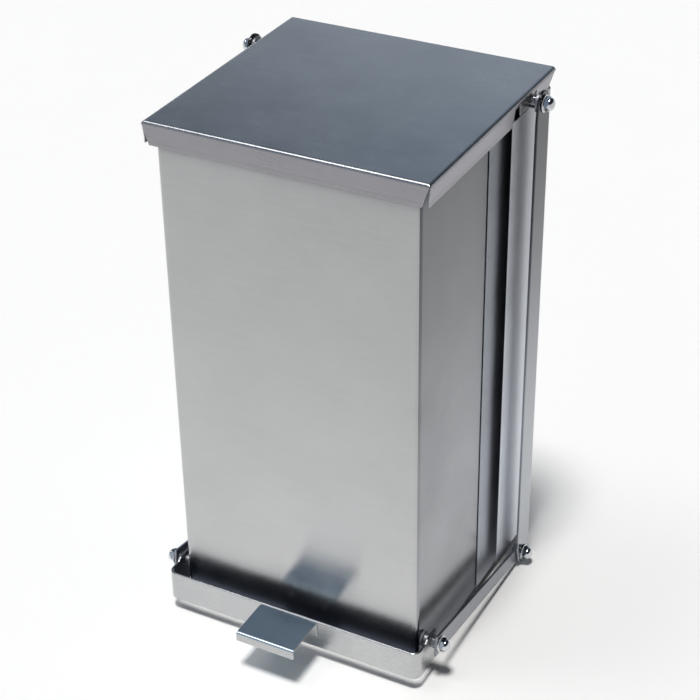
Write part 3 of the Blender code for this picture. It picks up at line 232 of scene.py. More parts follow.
def makeSteel(name, way, pull=0.0, turn=0.0, tone=None, rough=None, waves=1.0, spots=None, crown=None,
              nook=0.0, clouded=1.0, topShade=0.0):
    look = steelLook
    paint = startPaint(name)
    lines = grainNoise(paint, way, *look["lines"])
    short = grainNoise(paint, way, *look["short"])
    clouds = paint.even(look["clouds"])
    mottle = paint.even(look["mottle"])
    scratch = grainNoise(paint, way, *look["scratch"])
    scratch = paint.steps(scratch, 0.0, 1.0, look["scratchFrom"], look["scratchTo"])
    edges = paint.rubbed(look["edge"])
    shade = 1 + (lines - 0.5) * look["lineShade"] + (short - 0.5) * look["lineShade"]
    shade = shade + (clouds - 0.5) * look["cloudShade"] * clouded
    shade = shade + (mottle - 0.5) * look["mottleShade"] + scratch * look["scratchShade"]
    # painted shade: the tone darkens towards the top
    if topShade:
        shade = shade * paint.steps(paint.along(2), 1.0, 1 - topShade, look["topShadeFrom"], look["topShadeTo"])
    colour = paint.tint(tone or look["tone"], shade)
    colour = paint.blend(edges * look["edgeWear"], colour, (*look["worn"], 1.0))
    # painted shade: corners, recesses and gaps between parts darken towards a dark navy, by ambient occlusion
    if nook:
        clear = paint.node("ShaderNodeAmbientOcclusion", {"samples": 6}, {"Distance": look["nook"]}, "AO")
        nookShade = paint.steps(clear, nook, 0.0, look["nookFrom"], look["nookTo"])
        colour = paint.blend(nookShade, colour, (*look["nookShadeColour"], 1.0))
    roughness = (rough or look["rough"]) + (lines - 0.5) * look["lineRough"]
    roughness = roughness + (clouds - 0.5) * look["cloudRough"] + (mottle - 0.5) * look["mottleRough"]
    roughness = roughness - edges * look["edgeRough"]
    normal = paint.bump(paint.even(look["slow"]), look["waviness"] * waves)
    if crown:
        off = paint.along(1) - crown["y"] * mm
        normal = paint.bump(off * off * -crown["rise"], 1.0, 1.0, normal)
    if spots:
        normal = paint.bump(spotWelds(paint, spots), look["weldDepth"], 1.0, normal)
    normal = paint.bump(lines + short * look["shortDepth"], look["lineDepth"], 1.0, normal)
    return paint.finish({
        "Base Color": colour, "Roughness": roughness, "Metallic": 1.0, "Normal": normal,
        "Anisotropic": pull, "Anisotropic Rotation": turn,
    })


# rows of small dished weld marks up each side seam
weldMarks = {"y": 55.5 * mm, "pitch": 58 * mm, "radius": 3.0 * mm, "flatShare": 0.35}


def spotWelds(paint, marks):
    y = paint.along(1) - marks["y"]
    row = paint.node("ShaderNodeMath", {"operation": "PINGPONG"}, {0: paint.along(2), 1: marks["pitch"] / 2})
    away = (y * y + row * row) ** 0.5
    return paint.steps(away, 0.0, 1.0, marks["radius"] * marks["flatShare"], marks["radius"])


# plain finishes: shade and rough are a middle value, then what the broad and the fine noise add
finishes = {
    "chrome": {
        "name": "brightChrome", "metal": 1.0, "tone": (0.62, 0.635, 0.66), "broad": (180, 3, 0.5),
        "fine": (1400, 2, 0.5), "shade": (1.0, 0.06, 0.0), "rough": (0.06, 0.10, 0.05), "grain": 0.012 * mm,
        "edge": 0.5 * mm, "wear": 0.5, "worn": (0.80, 0.80, 0.81),
    },
    "zinc": {
        "name": "darkZincPlate", "metal": 1.0, "tone": (0.34, 0.345, 0.36), "broad": (60, 4, 0.6),
        "fine": (900, 3, 0.6), "shade": (1.0, 0.2, 0.1), "rough": (0.38, 0.2, 0.1), "grain": 0.03 * mm,
        "edge": 0.6 * mm, "wear": 0.55, "worn": (0.50, 0.50, 0.50),
    },
    "nylon": {
        "name": "greyNylon", "metal": 0.0, "tone": (0.15, 0.15, 0.16), "broad": (120, 3, 0.5),
        "fine": (1200, 2, 0.5), "shade": (1.0, 0.3, 0.0), "rough": (0.48, 0.0, 0.15), "grain": 0.03 * mm,
    },
}


def makeFinish(look):
    paint = startPaint(look["name"])
    broad = paint.even(look["broad"]) - 0.5
    fine = paint.even(look["fine"])
    middle, byBroad, byFine = look["shade"]
    colour = paint.tint(look["tone"], middle + broad * byBroad + (fine - 0.5) * byFine)
    if "worn" in look:
        edges = paint.rubbed(look["edge"])
        colour = paint.blend(edges * look["wear"], colour, (*look["worn"], 1))
    middle, byBroad, byFine = look["rough"]
    rough = middle + broad * byBroad + (fine - 0.5) * byFine
    return paint.finish({"Base Color": colour, "Roughness": rough, "Metallic": look["metal"],
                         "Normal": paint.bump(fine, look["grain"])})


galvanisedLook = {
    "tone": (0.52, 0.54, 0.56), "rough": 0.42, "flakes": 70, "grain": 0.012 * mm,
    "warp": (90, 2, 0.5), "cloud": (9, 3, 0.5), "fine": (700, 3, 0.5),
}


def makeGalvanised(name):
    look = galvanisedLook
    paint = startPaint(name)
    warp = paint.even(look["warp"])
    warp = paint.node("ShaderNodeCombineXYZ", None, {0: warp, 1: warp})
    place = paint.node("ShaderNodeVectorMath", {"operation": "ADD"}, {
        0: paint.stretched((look["flakes"],) * 3), 1: warp})
    flakes = paint.node("ShaderNodeTexVoronoi", {"feature": "F1"}, {"Vector": place, "Scale": 1.0}, "Color")
    flake = paint.node("ShaderNodeSeparateColor", None, {0: flakes}, 0)
    cloud = paint.even(look["cloud"])
    fine = paint.even(look["fine"])
    colour = paint.tint(look["tone"], 0.86 + flake * 0.2 + cloud * 0.1)
    rough = look["rough"] + (flake - 0.5) * 0.22 + (fine - 0.5) * 0.08
    normal = paint.bump(flake + fine * 0.3, look["grain"])
    return paint.finish({"Base Color": colour, "Roughness": rough, "Metallic": 1.0, "Normal": normal})


rubberLook = {
    "tone": (0.035, 0.035, 0.037), "dust": (0.13, 0.125, 0.12), "rough": 0.72, "grain": 0.06 * mm,
    "cloud": (90, 4, 0.65), "fine": (1600, 2, 0.5), "dusty": 0.35,
}


def makeRubber(name):
    look = rubberLook
    paint = startPaint(name)
    fine = paint.even(look["fine"])
    dust = paint.steps(paint.even(look["cloud"]), 0.0, look["dusty"], 0.45, 0.75)
    colour = paint.blend(dust, (*look["tone"], 1), (*look["dust"], 1))
    rough = look["rough"] + (fine - 0.5) * 0.2
    normal = paint.bump(fine, look["grain"])
    return paint.finish({"Base Color": colour, "Roughness": rough, "Normal": normal})


# the lid's top is slightly domed from front to back
lidCrown = {"y": 37.5, "rise": 0.05}
steels = {
    "lidTop": {"name": "lidTopSteel", "way": "across", "tone": (0.545, 0.555, 0.565), "rough": 0.25,
               "waves": 1.2, "crown": lidCrown, "clouded": 2.0},
    # painted shade: the skirts are darker copies of the lid top's steel, the side skirts a little darker and
    # bluer
    "skirt": {"name": "lidSkirtShadedSteel", "way": "level", "pull": 0.55, "turn": 0.25,
              "tone": (0.325, 0.32, 0.34), "rough": 0.30, "waves": 0.6},
    "skirtSide": {"name": "lidSideShadedSteel", "way": "level", "pull": 0.55, "turn": 0.25,
                  "tone": (0.315, 0.315, 0.345), "rough": 0.30, "waves": 0.6},
    "level": {"name": "levelBrushedSteel", "way": "level", "pull": 0.84, "turn": 0.25, "rough": 0.19,
              "nook": 0.93, "topShade": 0.15},
    # painted shade: the side walls are a darker copy of the front's steel
    "side": {"name": "sideShadedSteel", "way": "level", "pull": 0.40, "turn": 0.25,
             "tone": (0.345, 0.355, 0.378), "rough": 0.20, "spots": weldMarks, "nook": 0.96,
             "clouded": 3.4, "topShade": 0.60},
    "rear": {"name": "rearShellSteel", "way": "level", "tone": (0.48, 0.51, 0.56), "rough": 0.50,
             "spots": weldMarks, "nook": 0.25, "clouded": 2.0, "topShade": 0.3},
    "channel": {"name": "channelSteel", "way": "upright", "tone": (0.72, 0.745, 0.80), "rough": 0.40,
                "clouded": 2.0, "topShade": 0.36},
    "upright": {"name": "uprightBrushedSteel", "way": "upright", "pull": 0.45,
                "tone": (0.40, 0.42, 0.452), "waves": 0.3, "topShade": 0.81},
    "lever": {"name": "leverBrushedSteel", "way": "level", "pull": 0.45, "turn": 0.25,
              "tone": (0.50, 0.505, 0.512), "rough": 0.26, "waves": 0.3},
    # painted shade: a dark copy of the steel for faces that look into the gap between the lever and the body
    "shadedInside": {"name": "insideShadedSteel", "way": "level", "tone": (0.10, 0.115, 0.145), "rough": 0.40},
    "arm": {"name": "armSteel", "way": "level", "pull": 0.3, "turn": 0.25,
            "tone": (0.27, 0.285, 0.315), "rough": 0.32, "waves": 0.3},
    # painted reflection: the tread's blue tint stands in for the sky that its top mirrors
    "tread": {"name": "treadSkyTintSteel", "way": "across", "tone": (0.66, 0.79, 0.89), "rough": 0.20,
              "waves": 0.3},
    "hinge": {"name": "hingeSteel", "way": "across", "rough": 0.30, "waves": 0.2},
}
looks = {key: makeSteel(**settings) for key, settings in steels.items()}
looks.update({key: makeFinish(look) for key, look in finishes.items()})
looks["galvanised"] = makeGalvanised("galvanisedSheet")
looks["rubber"] = makeRubber("blackRubber")
slots = {key: "brushed_steel" for key in steels}
slots.update({"chrome": "chrome", "zinc": "dark_zinc", "galvanised": "galvanised", "rubber": "rubber",
              "nylon": "nylon"})
print("finishes made:", len(looks))


# shapes, all from loops of points in millimetres

def loft(bm, loops, ring=False):
    rows = [[bm.verts.new(point) for point in loop] for loop in loops]
    count = len(rows[0])
    pairs = list(zip(rows, rows[1:]))
    if ring:
        pairs.append((rows[-1], rows[0]))
    else:
        bm.faces.new(rows[0])
        bm.faces.new(rows[-1][::-1])
    for row, following in pairs:
        for i in range(count):
            j = (i + 1) % count
            bm.faces.new((row[i], row[j], following[j], following[i]))


# a new mesh from one of the shape functions here
def shaped(make, *details, **more):
    bm = bmesh.new()
    make(bm, *details, **more)
    return bm


# how a point of a section and its place along an axis make a point in space
pointOn = {
    "X": lambda u, v, along: (along, u, v),
    "Y": lambda u, v, along: (u, along, v),
    "Z": lambda u, v, along: (u, v, along),
}


def prism(bm, axis, outline, start, end):
    loft(bm, [[pointOn[axis](u, v, along) for u, v in outline] for along in (start, end)])


def block(bm, low, high):
    outline = [(low[0], low[1]), (high[0], low[1]), (high[0], high[1]), (low[0], high[1])]
    prism(bm, "Z", outline, low[2], high[2])


# stations are (place along, radius) or (place along, width across flats, largest radius) for a hexagon
def turned(bm, centre, stations, axis="X", count=48, ring=False):
    loops = []
    for station in stations:
        loop = []
        for i in range(count):
            angle = math.tau * i / count
            radius = station[1]
            if len(station) == 3:
                sixth = math.pi / 3
                radius = min(station[1] / 2 / math.cos(angle % sixth - sixth / 2), station[2])
            u = centre[0] + radius * math.cos(angle)
            v = centre[1] + radius * math.sin(angle)
            loop.append(pointOn[axis](u, v, station[0]))
        loops.append(loop)
    loft(bm, loops, ring)


# a round hole through what lies between start and end along the axis
def drill(tools, centre, start, end, radius, axis="X", count=48):
    turned(tools, centre, [(start, radius), (end, radius)], axis, count)


# the same hole through the left and the right wall
def drillSides(tools, centre, start, end, radius, count=48):
    for side in sides.values():
        drill(tools, centre, side * start, side * end, radius, count=count)


# from the middle of a hexagon to its corners
def hexCorner(across):
    return across / 2 / math.cos(math.pi / 6)


def circle(radius, count):
    angles = [math.tau * i / count for i in range(count)]
    return [(radius * math.cos(angle), radius * math.sin(angle)) for angle in angles]


# how far in and down the outside of a bend is, from 90 degrees at its top to 0 at its side
def quarter(radius, degrees):
    angle = math.radians(degrees)
    return radius * (1 - math.cos(angle)), radius * (1 - math.sin(angle))


def arc(centre, radius, start, turn, steps):
    points = []
    for i in range(steps + 1):
        angle = math.radians(start + turn * i / steps)
        points.append((centre[0] + radius * math.cos(angle), centre[1] + radius * math.sin(angle)))
    return points


def roundedLoop(half, front, back, radius, z, steps=6):
    points = []
    corners = ((half - radius, back - radius), (radius - half, back - radius),
               (radius - half, front + radius), (half - radius, front + radius))
    for number, centre in enumerate(corners):
        points += [(x, y, z) for x, y in arc(centre, radius, 90 * number, 90, steps)]
    return points


# rounds the inner corners of an open line
def bend(points, radius, steps=10):
    rounded = [points[0]]
    for before, corner, after in zip(points, points[1:], points[2:]):
        corner = Vector(corner)
        inward = (Vector(before) - corner).normalized()
        onward = (Vector(after) - corner).normalized()
        half = inward.angle(onward) / 2
        reach = radius / math.tan(half)
        centre = corner + (inward + onward).normalized() * radius / math.sin(half)
        start = corner + inward * reach - centre
        turn = (corner + onward * reach - centre).angle_signed(start)
        for i in range(steps + 1):
            angle = turn * i / steps
            rounded.append((
                centre.x + start.x * math.cos(angle) - start.y * math.sin(angle),
                centre.y + start.x * math.sin(angle) + start.y * math.cos(angle)))
    rounded.append(points[-1])
    return rounded


# the way to the left at each point of a line, long enough to keep a band's thickness at a mitre
def leftWays(path):
    result = []
    ways = [(Vector(b) - Vector(a)).normalized() for a, b in zip(path, path[1:])]
    for before, after in zip([ways[0]] + ways, ways + [ways[-1]]):
        left = Vector((-before.y - after.y, before.x + after.x)).normalized()
        result.append(left / max(left.dot(Vector((-after.y, after.x))), 0.2))
    return result


def band(path, thickness):
    moved = [tuple(Vector(point) + left * thickness) for point, left in zip(path, leftWays(path))]
    return list(path) + moved[::-1]


# a section of (inward, z) points carried along a level path
def sweep(bm, path, section):
    loops = []
    for i, (point, left) in enumerate(zip(path, leftWays(path))):
        points = section(i) if callable(section) else section
        loops.append([(point[0] + left.x * inward, point[1] + left.y * inward, z) for inward, z in points])
    loft(bm, loops)


def meshFrom(name, bm):
    bmesh.ops.recalc_face_normals(bm, faces=bm.faces)
    mesh = bpy.data.meshes.new(name)
    bm.to_mesh(mesh)
    bm.free()
    mesh.transform(Matrix.Scale(mm, 4))
    return mesh


# takes the shapes in tools out of a piece, and works the cut into its mesh
def carve(piece, tools):
    cutter = bpy.data.objects.new("cutter", meshFrom("cutter", tools))
    bpy.context.scene.collection.objects.link(cutter)
    modifier = piece.modifiers.new("cut", "BOOLEAN")
    modifier.operation = "DIFFERENCE"
    modifier.solver = "EXACT"
    modifier.object = cutter
    graph = bpy.context.evaluated_depsgraph_get()
    piece.data = bpy.data.meshes.new_from_object(piece.evaluated_get(graph))
    piece.modifiers.clear()
    bpy.data.objects.remove(cutter)


# one finished piece, riding on its body in place of its solid
def addPiece(name, bm, look, body, node, tools=None, edge=0.3, steps=2, sharp=38):
    piece = bpy.data.objects.new(name, meshFrom(name, bm))
    bpy.context.scene.collection.objects.link(piece)
    if tools:
        carve(piece, tools)
    piece.data.materials.clear()
    piece.data.materials.append(looks[look])
    piece.data.shade_smooth()
    piece.data.set_sharp_from_angle(angle=math.radians(sharp))
    if edge:
        rounding = piece.modifiers.new("edges", "BEVEL")
        rounding.width = edge * mm
        rounding.segments = steps
        rounding.limit_method = "ANGLE"
        rounding.angle_limit = math.radians(sharp)
        rounding.harden_normals = True
    # keeps the shading of large flat faces even
    flat = piece.modifiers.new("flat", "WEIGHTED_NORMAL")
    flat.weight = 100
    flat.keep_sharp = True
    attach(piece, body)
    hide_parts(node)
    return piece


# gives another finish to the faces that pass a test
def repaint(piece, look, test):
    piece.data.materials.append(looks[look])
    for face in piece.data.polygons:
        if test(face):
            face.material_index = len(piece.data.materials) - 1


# lid: a pan with a front skirt, notched side skirts and no rear skirt
lidPan = {
    "half": 165.0, "front": -119.2, "back": 194.5, "top": 632.0,
    "sheet": 1.2, "skirt": 25.5, "bend": 4.5, "corner": 1.6,
    "hemHeight": 8.0, "hemThickness": 2.3, "creaseUp": 5.0, "creaseDepth": 0.45,
    # a crease's height about its middle, and its share of the depth
    "crease": ((1.3, 0), (0.7, 0.6), (0, 1), (-0.7, 0.6), (-1.3, 0)),
    "lean": 0.8, "sideLean": 1.8, "spare": 20.0,
    "cornerGapLow": 9.5, "cornerGapHigh": 2.0, "cornerGapTop": 4.0, "sideSkirtStart": 2.6,
    "notchAhead": 46.0, "notchBehind": 11.0, "notchTop": 6.0,
    "rearSkirt": 19.5, "slantStart": 16.0, "slantEnd": 4.0, "slantTop": 4.0,
}


def makeLid():
    pan = lidPan
    # made too long, then cut to the profile at the back
    back = pan["back"] + pan["spare"]
    bottom = pan["top"] - pan["skirt"]
    turns = [90 - 10 * i for i in range(10)]
    loops = []
    for degrees in turns:
        inset, drop = quarter(pan["bend"], degrees)
        loops.append(roundedLoop(pan["half"] - inset, pan["front"] + inset, back - inset,
                                 pan["corner"], pan["top"] - drop, 4))
    # a shallow crease marks the folded hem on the front skirt
    half = pan["half"] - pan["sideLean"]
    front = pan["front"] - pan["lean"]
    for up, depth in pan["crease"]:
        loops.append(roundedLoop(half, front + depth * pan["creaseDepth"], back, pan["corner"],
                                 bottom + pan["creaseUp"] + up, 4))
    loops.append(roundedLoop(half, front, back, pan["corner"], bottom, 4))
    innerHalf = pan["half"] - pan["sheet"]
    innerBack = back - pan["sheet"]
    innerCorner = pan["corner"] - pan["sheet"]
    hemTop = bottom + pan["hemHeight"]
    for inset, z in ((pan["hemThickness"], bottom), (pan["hemThickness"], hemTop),
                     (pan["sheet"], hemTop + pan["hemThickness"] - pan["sheet"])):
        loops.append(roundedLoop(half - pan["sheet"], front + inset, innerBack, innerCorner, z, 4))
    innerBend = pan["bend"] - pan["sheet"]
    for degrees in turns[::-1]:
        inset, drop = quarter(innerBend, degrees)
        loops.append(roundedLoop(innerHalf - inset, pan["front"] + pan["sheet"] + inset, innerBack - inset,
                                 innerCorner, pan["top"] - pan["sheet"] - drop, 4))
    bm = shaped(loft, loops)

    pinY = axes["lidPin"][0]
    low = bottom - past
    rearBottom = pan["top"] - pan["rearSkirt"]
    profile = [
        (pinY - pan["notchAhead"], low),
        (pinY - pan["notchAhead"], pan["top"] - pan["notchTop"]),
        (pinY + pan["notchBehind"], pan["top"] - pan["notchTop"]),
        (pinY + pan["notchBehind"], rearBottom),
        (pan["back"] - pan["slantStart"], rearBottom),
        (pan["back"] - pan["slantEnd"], pan["top"] - pan["slantTop"]),
        (pan["back"], pan["top"] - pan["slantTop"]),
        (pan["back"], pan["top"] + past),
        (back + past, pan["top"] + past),
        (back + past, low),
    ]
    tools = bmesh.new()
    prism(tools, "X", profile, -pan["half"] - past, pan["half"] + past)
    for side in sides.values():
        outline = [
            (side * (pan["half"] - pan["cornerGapLow"]), low),
            (side * (pan["half"] - pan["cornerGapLow"]), bottom),
            (side * (pan["half"] - pan["cornerGapHigh"]), pan["top"] - pan["cornerGapTop"]),
            (side * (pan["half"] + past), pan["top"] - pan["cornerGapTop"]),
            (side * (pan["half"] + past), low),
        ]
        prism(tools, "Y", outline, pan["front"] - past, pan["front"] + pan["sideSkirtStart"])
    lid = addPiece("lidPan", bm, "lidTop", "lid", "lid", tools, edge=0.25)
    # painted shade: the upright faces take the darker skirt steels
    repaint(lid, "skirt", lambda face: abs(face.normal.z) < 0.5)
    repaint(lid, "skirtSide", lambda face: abs(face.normal.z) < 0.5 and abs(face.normal.x) > 0.7)


# shells of the body box, with folded top edges
bodyBox = {
    "half": 152.0, "front": -113.5, "back": 174.5, "bottom": 12.0, "top": 625.0,
    "sheet": 1.0, "corner": 6.0, "hemHeight": 12.0, "hemThickness": 2.4,
    "frontShellBack": 62.5, "rearShellFront": 48.5, "rearShellHalf": 153.3,
    "pivotBore": 5.9,
}


def shellSection():
    box = bodyBox
    fold = box["top"] - box["hemHeight"]
    return [(0, box["bottom"]), (0, box["top"]), (box["hemThickness"], box["top"]),
            (box["hemThickness"], fold), (box["sheet"], fold), (box["sheet"], box["bottom"])]


def makeShells():
    box = bodyBox
    half = box["half"]
    corners = [(-half, box["frontShellBack"]), (-half, box["front"]),
               (half, box["front"]), (half, box["frontShellBack"])]
    bm = shaped(sweep, bend(corners, box["corner"], 12), shellSection())
    tools = bmesh.new()
    drillSides(tools, axes["pivot"], half - past, half + past, box["pivotBore"])
    shell = addPiece("frontShell", bm, "level", "body", "body_front_shell", tools, edge=0.25)
    # painted shade: faces turned to the sides take the darker side steel
    repaint(shell, "side", lambda face: abs(face.normal.x) > 0.7)

    half = box["rearShellHalf"]
    corners = [(half, box["rearShellFront"]), (half, box["back"]),
               (-half, box["back"]), (-half, box["rearShellFront"])]
    bm = shaped(sweep, bend(corners, box["corner"], 12), shellSection())
    tools = bmesh.new()
    for side in sides.values():
        near, far = sorted((side * (box["half"] - past), side * (box["half"] + gap)))
        block(tools, (near, box["rearShellFront"] - past, box["top"] - box["hemHeight"] - past),
              (far, box["frontShellBack"] + gap, box["top"] + past))
    addPiece("rearShell", bm, "rear", "body", "body_rear_shell", tools, edge=0.25)


# floor pan and the angle frame under it
baseTray = {
    "half": 150.7, "front": -112.2, "back": 173.2, "corner": 5.0,
    "panTop": 72.0, "panFlange": 17.0, "panSheet": 1.5, "panBend": 3.0,
    "frameBottom": 12.0, "frameLeg": 15.0, "frameFlange": 20.0, "frameSheet": 1.5, "frameCorner": 4.0,
}
feet = {
    "inset": 13.3, "height": 11.7, "lowRadius": 11.0, "highRadius": 9.6, "edge": 1.2,
    "stem": 3.2, "barb": 5.0, "barbHeight": 5.0, "waist": 0.9,
}


def footPlaces():
    tray = baseTray
    places = {}
    for row, y in (("front", tray["front"] + feet["inset"]), ("back", tray["back"] - feet["inset"])):
        for name, side in sides.items():
            places[row + "_" + name] = (side * (tray["half"] - feet["inset"]), y)
    return places


def makeBase():
    tray = baseTray

    def level(inset, corner, z):
        return roundedLoop(tray["half"] - inset, tray["front"] + inset, tray["back"] - inset, corner, z)

    loops = []
    for degrees in (90, 75, 60, 45, 30, 15, 0):
        inset, drop = quarter(tray["panBend"], degrees)
        loops.append(level(inset, tray["corner"], tray["panTop"] - drop))
    bottom = tray["panTop"] - tray["panFlange"]
    inner = tray["corner"] - tray["panSheet"]
    loops.append(level(0, tray["corner"], bottom))
    loops.append(level(tray["panSheet"], inner, bottom))
    loops.append(level(tray["panSheet"], inner, tray["panTop"] - tray["panSheet"]))
    bm = shaped(loft, loops)
    addPiece("floorPan", bm, "hinge", "body", "floor_pan")

    thick = tray["frameSheet"]
    low = tray["frameBottom"]
    loops = [
        level(0, tray["corner"], low),
        level(0, tray["corner"], low + tray["frameLeg"]),
        level(thick, tray["corner"] - thick, low + tray["frameLeg"]),
        level(thick, tray["corner"] - thick, low + thick),
        level(tray["frameFlange"], tray["frameCorner"], low + thick),
        level(tray["frameFlange"], tray["frameCorner"], low),
    ]
    bm = shaped(loft, loops, ring=True)
    tools = bmesh.new()
    for centre in footPlaces().values():
        drill(tools, centre, low - past, low + thick + past, feet["stem"] + gap, "Z", 24)
    addPiece("baseFrame", bm, "zinc", "body", "base_frame", tools)

    barb = low + thick + gap
    high = feet["height"]
    profile = [
        (0, feet["lowRadius"] - feet["edge"]),
        (feet["edge"] * 0.3, feet["lowRadius"] - feet["edge"] * 0.3),
        (feet["edge"], feet["lowRadius"]),
        (high * 0.55, feet["lowRadius"] - feet["waist"]),
        (high, feet["highRadius"]),
        (high, feet["stem"]),
        (barb, feet["stem"]),
        (barb, feet["barb"]),
        (barb + feet["barbHeight"] * 0.5, feet["barb"] * 0.8),
        (barb + feet["barbHeight"], feet["stem"] / 2),
    ]
    for name, centre in footPlaces().items():
        bm = shaped(turned, centre, profile, "Z")
        addPiece("foot." + name.replace("_", "."), bm, "rubber", "body", "foot_" + name, edge=0.35)


# rear channel, and the two bars that hold it off the body
rearChannel = {
    "half": 163.3, "front": 84.0, "back": 190.5, "bottom": 28.0, "top": 611.0,
    "sheet": 1.2, "corner": 6.0, "chamfer": 25.0,
    "barSheet": 1.5, "barHalf": 140.0, "barHeight": 30.0, "barWeb": 16.0,
    "barLevels": {"lower": 80.0, "upper": 560.0},
}


def makeChannel():
    part = rearChannel
    half = part["half"]
    corners = [(half, part["front"]), (half, part["back"]), (-half, part["back"]), (-half, part["front"])]
    section = [(0, part["bottom"]), (0, part["top"]),
               (part["sheet"], part["top"]), (part["sheet"], part["bottom"])]
    bm = shaped(sweep, bend(corners, part["corner"], 12), section)
    tools = bmesh.new()
    outline = [
        (part["back"] - part["chamfer"] - past, part["bottom"] - past),
        (part["back"] + past, part["bottom"] - past),
        (part["back"] + past, part["bottom"] + part["chamfer"] + past),
    ]
    prism(tools, "X", outline, -half - past, half + past)
    hingeBores(tools)
    addPiece("rearChannel", bm, "channel", "body", "rear_channel", tools, edge=0.3)

    near = bodyBox["back"] + gap + part["barSheet"]
    far = part["back"] - part["sheet"] - gap
    for name, level in part["barLevels"].items():
        line = [
            (near, level - part["barHeight"] / 2), (near, level - part["barWeb"] / 2),
            (far, level - part["barWeb"] / 2), (far, level + part["barWeb"] / 2),
            (near, level + part["barWeb"] / 2), (near, level + part["barHeight"] / 2),
        ]
        bm = shaped(prism, "X", band(line, part["barSheet"]), -part["barHalf"], part["barHalf"])
        addPiece("spacerBar." + name, bm, "zinc", "body", "spacer_bar_" + name)


# piano hinge: one leaf under the lid, the other on the back of the channel
pianoHinge = {
    "half": 140.0, "sheet": 1.2, "pin": 2.7, "outer": 4.2, "turn": 285,
    "knuckles": 7, "clear": 0.6, "lidLeaf": 30.0, "fixedLeafBottom": 585.0,
    "rivets": (-110.0, 0.0, 110.0), "rivetZ": 597.0, "rivetBore": 2.2, "boreFrom": 180.0, "boreTo": 200.0,
}


def knuckleGaps(first, low, high):
    part = pianoHinge
    tools = bmesh.new()
    pitch = 2 * part["half"] / part["knuckles"]
    for number in range(first, part["knuckles"], 2):
        start = number * pitch - part["half"] - gap / 2
        end = (number + 1) * pitch - part["half"] + gap / 2
        if number == 0:
            start -= past
        if number == part["knuckles"] - 1:
            end += past
        block(tools, (start, *low), (end, *high))
    return tools


def hingeBores(bm):
    part = pianoHinge
    for x in part["rivets"]:
        drill(bm, (x, part["rivetZ"]), part["boreFrom"], part["boreTo"], part["rivetBore"], "Y", 24)


def addRivet(name, centre, headFace, tailFace, axis, body, node, radius=1.9, head=3.6, tall=1.5):
    way = 1 if headFace > tailFace else -1
    stations = []
    for degrees in (80, 60, 40, 20):
        angle = math.radians(degrees)
        stations.append((headFace + way * tall * math.sin(angle), head * math.cos(angle)))
    stations += [(headFace + way * gap, head), (headFace + way * gap, radius),
                 (tailFace - way * gap, radius), (tailFace - way * gap, head)]
    for degrees in (25, 50, 75):
        angle = math.radians(degrees)
        stations.append((tailFace - way * (gap + (tall - 2 * gap) * math.sin(angle)), head * math.cos(angle)))
    bm = shaped(turned, centre, stations, axis, 32)
    addPiece(name, bm, "zinc", body, node, edge=0.12)


def makeHinge():
    part = pianoHinge
    y, z = axes["hinge"]
    reach = part["outer"] + past
    line = [(y - part["lidLeaf"], z + part["outer"])] + arc((y, z), part["outer"], 90, -part["turn"], 30)
    bm = shaped(prism, "X", band(line, -part["sheet"]), -part["half"], part["half"])
    clear = part["outer"] + part["clear"]
    tools = knuckleGaps(0, (y - clear, z - reach), (y + reach, z + reach))
    addPiece("hingeLeaf.lid", bm, "hinge", "lid", "hinge_leaf_lid", tools, edge=0.2)

    line = [(y + part["outer"], part["fixedLeafBottom"])] + arc((y, z), part["outer"], 0, part["turn"], 30)
    bm = shaped(prism, "X", band(line, part["sheet"]), -part["half"], part["half"])
    tools = knuckleGaps(1, (y - reach, z - clear), (y + reach, z + reach))
    hingeBores(tools)
    addPiece("hingeLeaf.fixed", bm, "hinge", "body", "hinge_leaf_fixed", tools, edge=0.2)

    bm = shaped(turned, (y, z), [(-part["half"], part["pin"]), (part["half"], part["pin"])], count=32)
    addPiece("hingePin", bm, "zinc", "body", "hinge_pin", edge=0.4)
    for number, x in enumerate(part["rivets"], 1):
        addRivet(f"hingeRivet.{number}", (x, part["rivetZ"]), y + part["outer"],
                 rearChannel["back"] - rearChannel["sheet"], "Y", "body", f"hinge_rivet_{number}")


# bolts, nuts and washers
fasteners = {
    "bolt": 4.0, "bore": 4.3, "headAcross": 13.0, "headLength": 4.5, "jamAcross": 13.0,
    "washer": 11.6, "nutFlange": 9.9, "flange": 1.6, "capLength": 11.6, "capAcross": 14.5, "capHex": 6.4,
    "capBore": 8.4, "capStep": 0.15, "capTip": 0.06, "domeShare": 1.02, "chamfer": 0.8, "linkHead": 5.1,
    "spacer": 7.0, "armInner": 171.4, "armOuter": 174.6, "strapInner": 174.9, "strapOuter": 178.1,
}


# stations counted outwards from a place on the can's left or right side
def outwards(start, stations, side):
    return [(side * (start + place), *rest) for place, *rest in stations]


def makeCapNut(name, centre, side, inner, node, body):
    part = fasteners
    tip, flats, hexTop = part["capLength"], part["capAcross"], part["capHex"]
    corner, rim = hexCorner(flats), part["nutFlange"]
    dome = flats / 2 * part["domeShare"]
    stations = [
        (part["capBore"], part["bore"]), (0, part["bore"]), (0, rim - 0.3), (0.3, rim),
        (part["flange"] - 0.5, rim), (part["flange"], rim - 0.7),
        (part["flange"] + 0.25, flats, corner), (hexTop - 1.3, flats, corner),
        (hexTop - 0.8, flats, corner * 0.975), (hexTop - 0.35, flats, corner * 0.93),
        (hexTop, flats, corner * 0.87), (hexTop + part["capStep"], dome),
    ]
    rise = tip - hexTop - part["capStep"]
    for degrees in range(10, 90, 10):
        angle = math.radians(degrees)
        stations.append((hexTop + part["capStep"] + rise * math.sin(angle), dome * math.cos(angle)))
    stations.append((tip, dome * part["capTip"]))
    bm = shaped(turned, centre, outwards(inner, stations, side))
    addPiece(name, bm, "chrome", body, node, edge=0.15)


